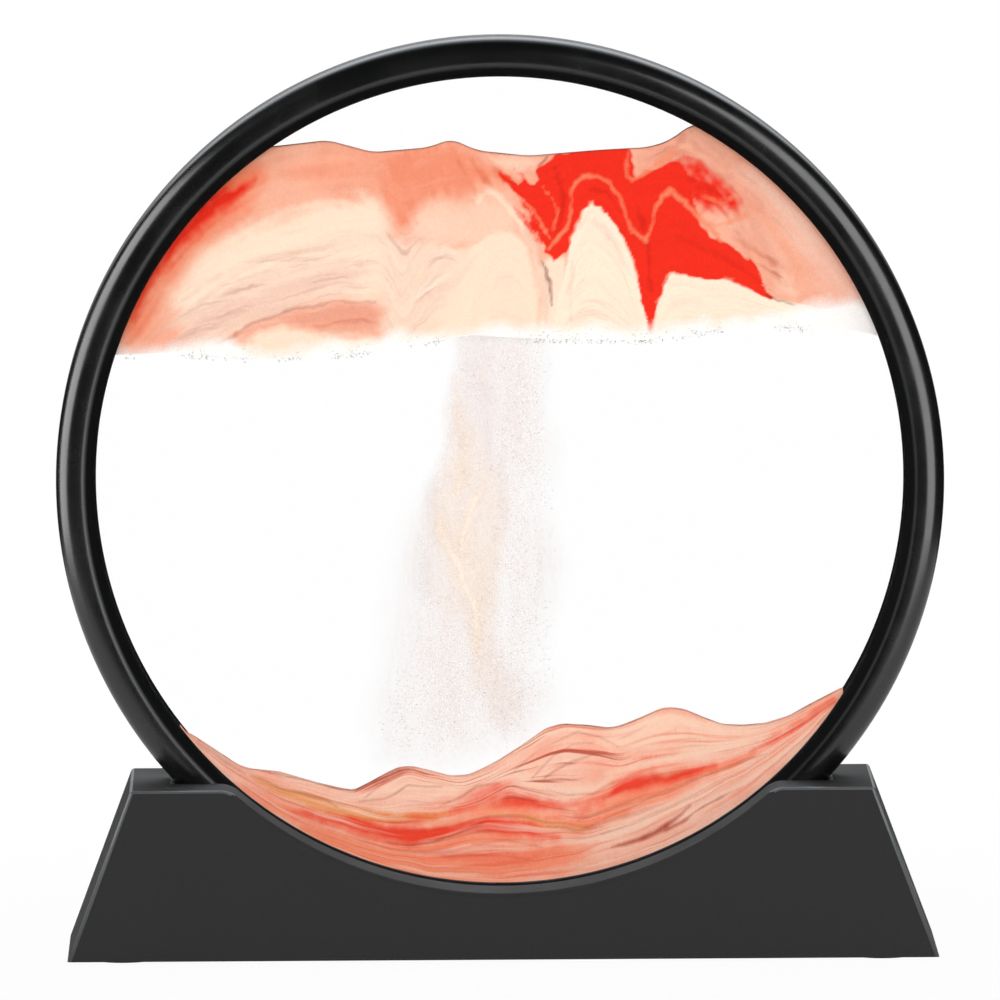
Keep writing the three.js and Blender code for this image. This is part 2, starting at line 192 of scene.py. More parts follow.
def clearMaterial(look):
    material, tree = newMaterial(look["name"])
    place = addNode(tree, "TexCoord").outputs["Object"]
    smudge = addNode(tree, "TexNoise", {"Scale": 1 / (look["smudgeSize"] * mm), "Detail": 3}, {"Vector": place})
    dullness = addNode(tree, "MapRange", {"To Min": 0.01, "To Max": 0.08}, {"Value": smudge})
    facing = addNode(tree, "LayerWeight", {"Blend": 0.5}).outputs["Facing"]
    steep = addNode(tree, "Math", {"operation": "POWER", 1: 5.0}, {0: facing})
    share = addNode(tree, "Math", {"operation": "MULTIPLY_ADD", 1: look["grazing"], 2: look["straight"]}, {0: steep})
    through = addNode(tree, "BsdfTransparent", {"Color": linear(look["tint"])})
    shine = addNode(tree, "BsdfGlossy", {"Color": linear("#ffffff")}, {"Roughness": dullness})
    mixed = addNode(tree, "MixShader", {}, {0: share, 1: through, 2: shine})
    addNode(tree, "OutputMaterial", {}, {"Surface": mixed})
    return material


ringPlastic, basePlastic, rubbedHighlitPlastic, rubberBlack, screwSteel = map(
    solidMaterial, (gloss, satin, rubbedAndHighlit, rubber, zinc))
paneGlass, clearWater = map(clearMaterial, (panes, water))
print("plastics, rubber, steel and glass ready")


# Ring: two bezels turned from one section each, with the filling hole at the foot of the rim;
# a rounding has its size and its number of segments
ring = {
    "outer": 90, "rimInner": 86.5, "opening": 82, "halfDepth": 9, "seam": 0.05, "lipBack": 4.9, "centre": 95.9,
    "outerRound": (4, 14), "openingRound": (3.6, 12), "seamChamfer": (0.3, 1), "steps": 240,
    "plugSeat": 2.8, "plugDepth": 1.7, "plugSides": 40, "mattLip": 84.2, "lipFade": 0.9, "sharpAngle": 30,
}


def bezel(name, side, node):
    bm = bmesh.new()
    section = [
        (ring["opening"], ring["halfDepth"], ring["openingRound"]),
        (ring["outer"], ring["halfDepth"], ring["outerRound"]),
        (ring["outer"], ring["seam"], ring["seamChamfer"]),
        (ring["rimInner"], ring["seam"], None),
        (ring["rimInner"], ring["lipBack"], None),
        (ring["opening"], ring["lipBack"], None),
    ]
    corners = [bm.verts.new((r * mm, side * y * mm, 0)) for r, y, _ in section]
    bm.faces.new(corners)
    for corner, (_, _, rounding) in zip(corners, section):
        if rounding:
            size, segments = rounding
            bmesh.ops.bevel(bm, geom=[corner], offset=size * mm, offset_type="OFFSET", segments=segments,
                            profile=0.5, affect="VERTICES", material=-1)
    bmesh.ops.delete(bm, geom=bm.faces[:], context="FACES_ONLY")
    bmesh.ops.spin(bm, geom=bm.verts[:] + bm.edges[:], cent=(0, 0, 0), axis=(0, 1, 0), angle=2 * math.pi,
                   steps=ring["steps"], use_merge=True)
    bmesh.ops.translate(bm, vec=(0, 0, ring["centre"] * mm), verts=bm.verts[:])
    piece = makePiece(name, bm, ringPlastic, "frame", [node], ring["sharpAngle"])
    cutter = bmesh.new()
    bmesh.ops.create_cone(cutter, cap_ends=True, segments=ring["plugSides"], radius1=ring["plugSeat"] * mm,
                          radius2=ring["plugSeat"] * mm, depth=2 * ring["plugDepth"] * mm)
    bmesh.ops.translate(cutter, vec=(0, 0, (ring["centre"] - ring["outer"]) * mm), verts=cutter.verts[:])
    port = makeObject("port", cutter)
    carve = piece.modifiers.new("port", "BOOLEAN")
    carve.operation = "DIFFERENCE"
    carve.solver = "EXACT"
    carve.object = port
    applyModifiers(piece)
    bpy.data.objects.remove(port)
    x, _, z = placesOf(piece)
    store(piece, "lip", soft(ring["mattLip"] - np.hypot(x, z), ring["lipFade"]))


bezel("front_ring_half", -1, "front_bezel")
bezel("rear_ring_half", 1, "rear_bezel")
print("ring ready")


# Base: front and rear walls with the saddle's arc, a deeper slot between them, and a recess for the plate below
base = {
    "top": 35, "under": 0.6, "topHalfLength": 75.27, "endFlare": 12.8, "topHalfDepth": 25, "sideFlare": 2,
    "slotRadius": 90.3, "slotHalf": 9.4, "shoulderTangent": 1.92, "shoulderSteps": 6, "arcSteps": 48,
    "wall": 2.7, "recess": 2.75, "flatAngle": 0.4, "sharpAngle": 30,
    # roundings: which folds count as edges, where they start, and the depth over which the arc's comes to its full size
    "edgeRound": 0.5, "arcRound": 1.5, "cornerRound": 0.8, "roundSteps": 4,
    "edgeAngle": 24, "edgesAbove": 8, "tallEdge": 20, "wallMargin": 3, "arcEase": 14,
    "arcMargin": 3, "highlitEdgeDrop": 0.9,
    # what tells the front wall's face, and the underside by its facing and height
    "faceMargin": 0.1, "underFacing": 0.9, "underBelow": 2,
}


def extrude(bm, faces, away):
    # the faces are drawn out by so many millimetres, and the far ones are given back
    made = bmesh.ops.extrude_face_region(bm, geom=faces)["geom"]
    moved = [part for part in made if isinstance(part, bmesh.types.BMVert)]
    bmesh.ops.translate(bm, vec=Vector(away) * mm, verts=moved)
    return [part for part in made if isinstance(part, bmesh.types.BMFace)]


def baseShell():
    bm = bmesh.new()
    top, under = base["top"], base["under"]
    centre = Vector((0, 0, ring["centre"] * mm))
    drop = ring["centre"] - top

    def arc(radius):
        x = math.sqrt(radius ** 2 - drop ** 2)
        start = bm.verts.new((-x * mm, 0, top * mm))
        turn = 2 * math.asin(x / radius)
        bmesh.ops.spin(bm, geom=[start], cent=centre, axis=(0, -1, 0), angle=turn, steps=base["arcSteps"])
        bm.verts.ensure_lookup_table()
        return bm.verts[-base["arcSteps"] - 1:]

    slot = arc(base["slotRadius"])
    saddle = arc(ring["opening"])
    bottomHalf = base["topHalfLength"] + base["endFlare"]
    foot = [bm.verts.new((x * mm, 0, under * mm)) for x in (-bottomHalf, bottomHalf)]
    head = [bm.verts.new((x * mm, 0, top * mm)) for x in (base["topHalfLength"], -base["topHalfLength"])]
    bm.faces.new(foot + [head[0]] + slot[::-1] + [head[1]])
    bm.faces.new(slot + saddle[::-1])
    bmesh.ops.bevel(bm, geom=[saddle[0], saddle[-1]], offset=base["shoulderTangent"] * mm, offset_type="OFFSET",
                    segments=base["shoulderSteps"], profile=0.5, affect="VERTICES", material=-1)
    bmesh.ops.translate(bm, vec=(0, -base["topHalfDepth"] * mm, 0), verts=bm.verts[:])
    # the front wall as far as the slot, then the slotted part as far as the middle
    inner = max(extrude(bm, bm.faces[:], (0, base["topHalfDepth"] - base["slotHalf"], 0)), key=lambda f: f.calc_area())
    extrude(bm, [inner], (0, base["slotHalf"], 0))
    middle = [f for f in bm.faces if all(abs(v.co.y) < hair for v in f.verts)]
    bmesh.ops.delete(bm, geom=middle + [f for f in [inner] if f.is_valid], context="FACES_ONLY")
    # the front wall leans back as it rises
    for vert in bm.verts:
        if vert.co.y < -(base["topHalfDepth"] - base["faceMargin"]) * mm:
            vert.co.y -= base["sideFlare"] * (top * mm - vert.co.z) / (top - under)
    bmesh.ops.mirror(bm, geom=bm.verts[:] + bm.edges[:] + bm.faces[:], axis="Y", merge_dist=hair)
    bmesh.ops.recalc_face_normals(bm, faces=bm.faces[:])
    bmesh.ops.dissolve_limit(bm, angle_limit=math.radians(base["flatAngle"]), verts=bm.verts[:], edges=bm.edges[:])
    bm.normal_update()
    # the recess for the plate
    underFaces = [f for f in bm.faces
                  if f.normal.z < -base["underFacing"] and f.calc_center_median().z < base["underBelow"] * mm]
    bmesh.ops.inset_region(bm, faces=underFaces, thickness=base["wall"] * mm, use_even_offset=True)
    extrude(bm, underFaces, (0, 0, base["recess"]))
    bmesh.ops.delete(bm, geom=[f for f in underFaces if f.is_valid], context="FACES_ONLY")
    bm.normal_update()
    # softer edges where the mould is rounded: along the arc, at the corners, and a fine line elsewhere
    weight = bm.edges.layers.float.new("bevel_weight_edge")
    for edge in bm.edges:
        if len(edge.link_faces) != 2 or edge.calc_face_angle(0) < math.radians(base["edgeAngle"]):
            continue
        spot = (edge.verts[0].co + edge.verts[1].co) / 2 / mm
        outside = abs(spot.y) > base["slotHalf"] + base["wallMargin"]
        tall = abs(edge.verts[0].co.z - edge.verts[1].co.z) > base["tallEdge"] * mm
        if outside and tall:
            edge[weight] = base["cornerRound"] / base["arcRound"]
        elif spot.z > base["edgesAbove"]:
            deep = min(max((top - spot.z) / base["arcEase"], 0), 1) if outside else 0
            edge[weight] = (base["edgeRound"] + (base["arcRound"] - base["edgeRound"]) * deep) / base["arcRound"]
    piece = makePiece("base_body", bm, basePlastic, "base", ["base_shell"], base["sharpAngle"])
    # the bevels get the second material: a smoother finish, and a paler colour that is a painted highlight
    piece.data.materials.append(rubbedHighlitPlastic)
    soften = piece.modifiers.new("edges", "BEVEL")
    soften.material = 1
    soften.limit_method = "WEIGHT"
    soften.width = base["arcRound"] * mm
    soften.segments = base["roundSteps"]
    soften.profile = 0.5
    soften.use_clamp_overlap = False
    applyModifiers(piece)
    # the straight edges take the rubbed finish with its painted highlight, and the arc under the ring keeps its satin
    # finish
    arcReach = math.hypot(ring["opening"] + base["arcMargin"], base["topHalfDepth"]) * mm
    for face in piece.data.polygons:
        if (face.center - centre).length < arcReach and face.center.z < (top - base["highlitEdgeDrop"]) * mm:
            face.material_index = 0


baseShell()

# pieces that stay as the solids are: part of the name and finish
finishes = [
    ("base_plate", basePlastic), ("foot_", rubberBlack), ("gasket", rubberBlack), ("fill_plug", rubberBlack),
    ("cell_spacer", rubberBlack), ("plate_screw", screwSteel), ("_glass", paneGlass), ("liquid_", clearWater),
]
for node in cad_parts.values():
    for part, finish in finishes:
        if part in node.name:
            node.data.materials.clear()
            node.data.materials.append(finish)
            node.visible_shadow = finish not in (paneGlass, clearWater)  # clear pieces throw no shadow on the sand
print("base ready")


# Sand: painted masses between drawn lines, in millimetres about the middle of the cell

cell = {
    "radius": 82.2, "halfDepth": 1.7, "centre": ring["centre"], "clearance": 0.05, "thinnest": 0.15, "layerGap": 0.4,
}
# streaks: spacing and margin of the heading's grid, stride and number of strides along it, pull of the guide lines
# and contrast; a sway in height has its seed so far from that of the sway in x
drawing = {
    "grid": 1.5, "margin": 2, "stride": 0.9, "strides": 8, "reach": 1.2, "falloff": 3, "contrast": 3.4, "seedApart": 11,
}


def lineHeight(points, ease=0.8):
    # height of a drawn line, its corners eased over a short run
    xs, zs = zip(*points)
    return lambda x: np.mean([np.interp(x + ease * k, xs, zs) for k in (-1, -0.5, 0, 0.5, 1)], axis=0)


def bandDepth(points, x, z):
    # how deep each place lies inside a band of changing half width, negative outside
    deepest = np.full(len(x), -np.inf)
    for (ax, az, aw), (bx, bz, bw) in zip(points, points[1:]):
        length = max((bx - ax) ** 2 + (bz - az) ** 2, tiny)
        t = np.clip(((x - ax) * (bx - ax) + (z - az) * (bz - az)) / length, 0, 1)
        away = np.hypot(x - ax - t * (bx - ax), z - az - t * (bz - az))
        deepest = np.maximum(deepest, aw + t * (bw - aw) - away)
    return deepest


def areaDepth(points, x, z):
    # how deep each place lies inside an outline, negative outside
    closed = points + points[:1]
    edge = -bandDepth([(px, pz, 0) for px, pz in closed], x, z)
    inside = np.zeros(len(x), bool)
    for (ax, az), (bx, bz) in zip(closed, closed[1:]):
        crosses = (az > z) != (bz > z)
        rise = bz - az if bz != az else tiny
        inside ^= crosses & (x < ax + (z - az) / rise * (bx - ax))
    return np.where(inside, edge, -edge)


def wobble(x, y, z, size, seed):
    return np.array([noise.noise((a / size, b / size + seed, c / size)) for a, b, c in zip(x, y, z)])


def thicken(bm, depth):
    # a flat sheet becomes a closed slab about the middle of the cell
    bm.normal_update()
    bmesh.ops.solidify(bm, geom=bm.faces[:], thickness=depth * mm)
    middle = (min(v.co.y for v in bm.verts) + max(v.co.y for v in bm.verts)) / 2
    bmesh.ops.translate(bm, vec=(0, -middle, 0), verts=bm.verts[:])


def hangSheet(span, columns, rows, low, high, depth):
    # a grid stretched between two heights at each x, then made a slab
    bm = bmesh.new()
    bmesh.ops.create_grid(bm, x_segments=columns, y_segments=rows, size=1)
    for vert in bm.verts:
        x = span[0] + (span[1] - span[0]) * (vert.co.x + 1) / 2
        bottom = low(x)
        vert.co = (x * mm, 0, (bottom + (high(x) - bottom) * (vert.co.y + 1) / 2 + cell["centre"]) * mm)
    thicken(bm, depth)
    return bm


def sandSheet(sand, topLine, bottomLine):
    reach = cell["radius"] - cell["clearance"]

    def rim(x):
        return math.sqrt(max(reach ** 2 - x ** 2, 0))

    def low(x):
        return max(float(bottomLine(x)), -rim(x))

    def high(x):
        return max(min(float(topLine(x)), rim(x)), low(x) + cell["thinnest"])

    fromX, toX = sand["span"]
    columns, rows = round((toX - fromX) / sand["step"]), round(sand["tall"] / sand["step"])
    return hangSheet(sand["span"], columns, rows, low, high, 2 * cell["halfDepth"])


def drawnLines(tree, colour, apart, layer, mask, hexText, most, along, across, low, high):
    # lines that follow the settled layers: so many mm long, so many across a layer, kept where the noise is high
    run = addNode(tree, "Math", {"operation": "MULTIPLY", 1: 1 / (along * mm)}, {0: apart.outputs["X"]})
    rise = addNode(tree, "Math", {"operation": "MULTIPLY", 1: across}, {0: layer.outputs["Fac"]})
    spot = addNode(tree, "CombineXYZ", {"Z": across}, {"X": run, "Y": rise})
    lines = addNode(tree, "TexNoise", {"Scale": 1, "Detail": 2, "Roughness": 0.55}, {"Vector": spot})
    part = addNode(tree, "MapRange", {"From Min": low, "From Max": high, "To Max": most}, {"Value": lines})
    where = addNode(tree, "Attribute", {"attribute_name": mask}).outputs["Fac"]
    share = addNode(tree, "Math", {"operation": "MULTIPLY"}, {0: part, 1: where})
    return addNode(tree, "Mix", {"data_type": "RGBA", 7: linear(hexText)}, {0: share, 6: colour}).outputs[2]


# Dyed quartz sand under water: fine 0.2 mm grains, drawn at 0.4 mm to show, matt, each colour with its own scatter.
# Layers are laid over each other in the order of the list: a painted mass has its share, colour, strength and ragged
# edge; drawn lines have their share, colour, strength, length in mm, number to a layer, and noise from and to.
def sandMaterial(look):
    material, tree = newMaterial(look["name"])
    place = addNode(tree, "TexCoord").outputs["Object"]
    grain = addNode(tree, "TexNoise", {"Scale": 1 / (look["grainSize"] * mm), "Detail": 2}, {"Vector": place})
    ragged = addNode(tree, "TexNoise", {"Scale": 1 / (look["raggedSize"] * mm), "Detail": 5, "Roughness": 0.65},
                     {"Vector": place})
    drift = addNode(tree, "TexNoise", {"Scale": 1 / (look["driftSize"] * mm), "Detail": 3}, {"Vector": place})
    spread = addNode(tree, "MapRange", {"From Min": 0.35, "From Max": 0.65}, {"Value": drift})
    first, second = map(linear, look["ground"])
    colour = addNode(tree, "Mix", {"data_type": "RGBA", 6: first, 7: second}, {0: spread}).outputs[2]
    apart = addNode(tree, "SeparateXYZ", {}, {"Vector": place})
    layer = addNode(tree, "Attribute", {"attribute_name": "layer"})
    for mask, hexText, most, *pattern in look["layers"]:
        if len(pattern) > 1:
            colour = drawnLines(tree, colour, apart, layer, mask, hexText, most, *pattern)
            continue
        tear = pattern[0]
        painted = addNode(tree, "Attribute", {"attribute_name": mask}).outputs["Fac"]
        tearing = addNode(tree, "Math", {"operation": "MULTIPLY_ADD", 1: tear, 2: -tear / 2}, {0: ragged})
        torn = addNode(tree, "Math", {"operation": "ADD"}, {0: painted, 1: tearing})
        share = addNode(tree, "MapRange", {"From Min": tear / 2, "From Max": 1 - tear / 2, "To Max": most},
                        {"Value": torn})
        colour = addNode(tree, "Mix", {"data_type": "RGBA", 7: linear(hexText)}, {0: share, 6: colour}).outputs[2]
    speck = addNode(tree, "MapRange",
                    {"From Min": 0.3, "From Max": 0.7, "To Min": 1 - look["speck"], "To Max": 1 + look["speck"]},
                    {"Value": grain})
    drawn = addNode(tree, "Attribute", {"attribute_name": "streak"}).outputs["Fac"]
    shade = addNode(tree, "Math", {"operation": "MULTIPLY_ADD", 1: look["streak"]}, {0: drawn, 2: speck})
    scattered = addNode(tree, "VectorMath", {"operation": "SCALE"}, {0: colour, "Scale": shade})
    bump = addNode(tree, "Bump", {"Strength": 0.5, "Distance": 0.08 * mm}, {"Height": grain})
    shader = addNode(tree, "BsdfPrincipled", {"Roughness": 0.9, "IOR": 1.33, "Specular IOR Level": 0.1},
                     {"Base Color": scattered, "Normal": bump})
    addNode(tree, "OutputMaterial", {}, {"Surface": shader})
    return material


def paint(features, x, z, streak):
    # the strongest of several soft shapes: soft edge, how far streaks tear it, strength and outline;
    # an area has two numbers to a point, a band has its half width as the third
    best = np.zeros(len(x))
    for width, tear, most, points in features:
        depth = (bandDepth if len(points[0]) == 3 else areaDepth)(points, x, z)
        best = np.maximum(best, most * soft(depth + tear * streak, width))
    return best


def layersOf(lines, x, z):
    # settled layers numbered upwards: whole numbers on the lines, even steps between them
    total = np.zeros(len(x))
    below = lines[0](x)
    for line in lines[1:]:
        above = np.maximum(line(x), below + cell["layerGap"])
        total += np.clip((z - below) / (above - below), 0, 1)
        below = above
    return total


def flowStreaks(guides, x, z, size, seed):
    # noise smeared along the guide lines, so that it runs the way the sand was drawn out
    starts = np.array([a[:2] for line in guides for a in line[:-1]])
    ends = np.array([b[:2] for line in guides for b in line[1:]])
    spans = ends - starts
    lengths = np.hypot(*spans.T)
    grid, margin = drawing["grid"], drawing["margin"]
    lowX, lowZ = x.min() - margin, z.min() - margin
    gridX, gridZ = np.meshgrid(np.arange(lowX, x.max() + margin + 1, grid), np.arange(lowZ, z.max() + margin + 1, grid))
    spots = np.stack([gridX.ravel(), gridZ.ravel()], 1)
    t = np.clip(((spots[:, None] - starts) * spans).sum(2) / lengths ** 2, 0, 1)
    away = np.linalg.norm(spots[:, None] - starts - t[..., None] * spans, axis=2)
    weight = 1 / (away + drawing["reach"]) ** drawing["falloff"]
    heading = (weight[..., None] * (spans / lengths[:, None])).sum(1)
    heading /= np.linalg.norm(heading, axis=1)[:, None] + tiny
    heading = heading.reshape(*gridX.shape, 2)
    total = np.zeros(len(x))
    for stride in (-drawing["stride"], drawing["stride"]):
        px, pz = x.copy(), z.copy()
        for _ in range(drawing["strides"]):
            column = np.clip(np.rint((px - lowX) / grid).astype(int), 0, gridX.shape[1] - 1)
            row = np.clip(np.rint((pz - lowZ) / grid).astype(int), 0, gridX.shape[0] - 1)
            px += stride * heading[row, column, 0]
            pz += stride * heading[row, column, 1]
            total += wobble(px, np.zeros(len(x)), pz, size, seed)
    return np.clip(total / (2 * drawing["strides"]) * drawing["contrast"], -1, 1)


def sandMass(name, sand, topLine, bottomLine, standsFor):
    bm = sandSheet(sand, topLine, bottomLine)
    piece = makePiece(name, bm, sandMaterial(sand["look"]), "frame", standsFor)
    x0, y, z0 = placesOf(piece)
    x, z = x0.copy(), z0.copy()
    for amount, size, seed in sand["sway"]:
        x += amount * wobble(x0, y, z0, size, seed)
        z += amount * wobble(x0, y, z0, size, seed + drawing["seedApart"])
    streaks = [flowStreaks(sand["flow"], x0, z0, size, seed) for size, seed in sand["streaks"]]
    shares = {entry[0] for entry in sand["look"]["layers"]}
    masks = {share: paint(sand[share], x, z, streaks[-1]) for share in sorted(shares) if share in sand}
    lines = [bottomLine] + [lineHeight(line, sand["layerEase"]) for line in sand["layers"]] + [topLine]
    masks["layer"] = layersOf(lines, x, z)
    most, drop, width = sand["topShade"]
    masks["dark"] = np.maximum(masks["dark"], most * soft(z0 - topLine(x0) + drop, width))
    masks["streak"] = streaks[0]
    for mask, values in masks.items():
        store(piece, mask, values)
    return piece, streaks


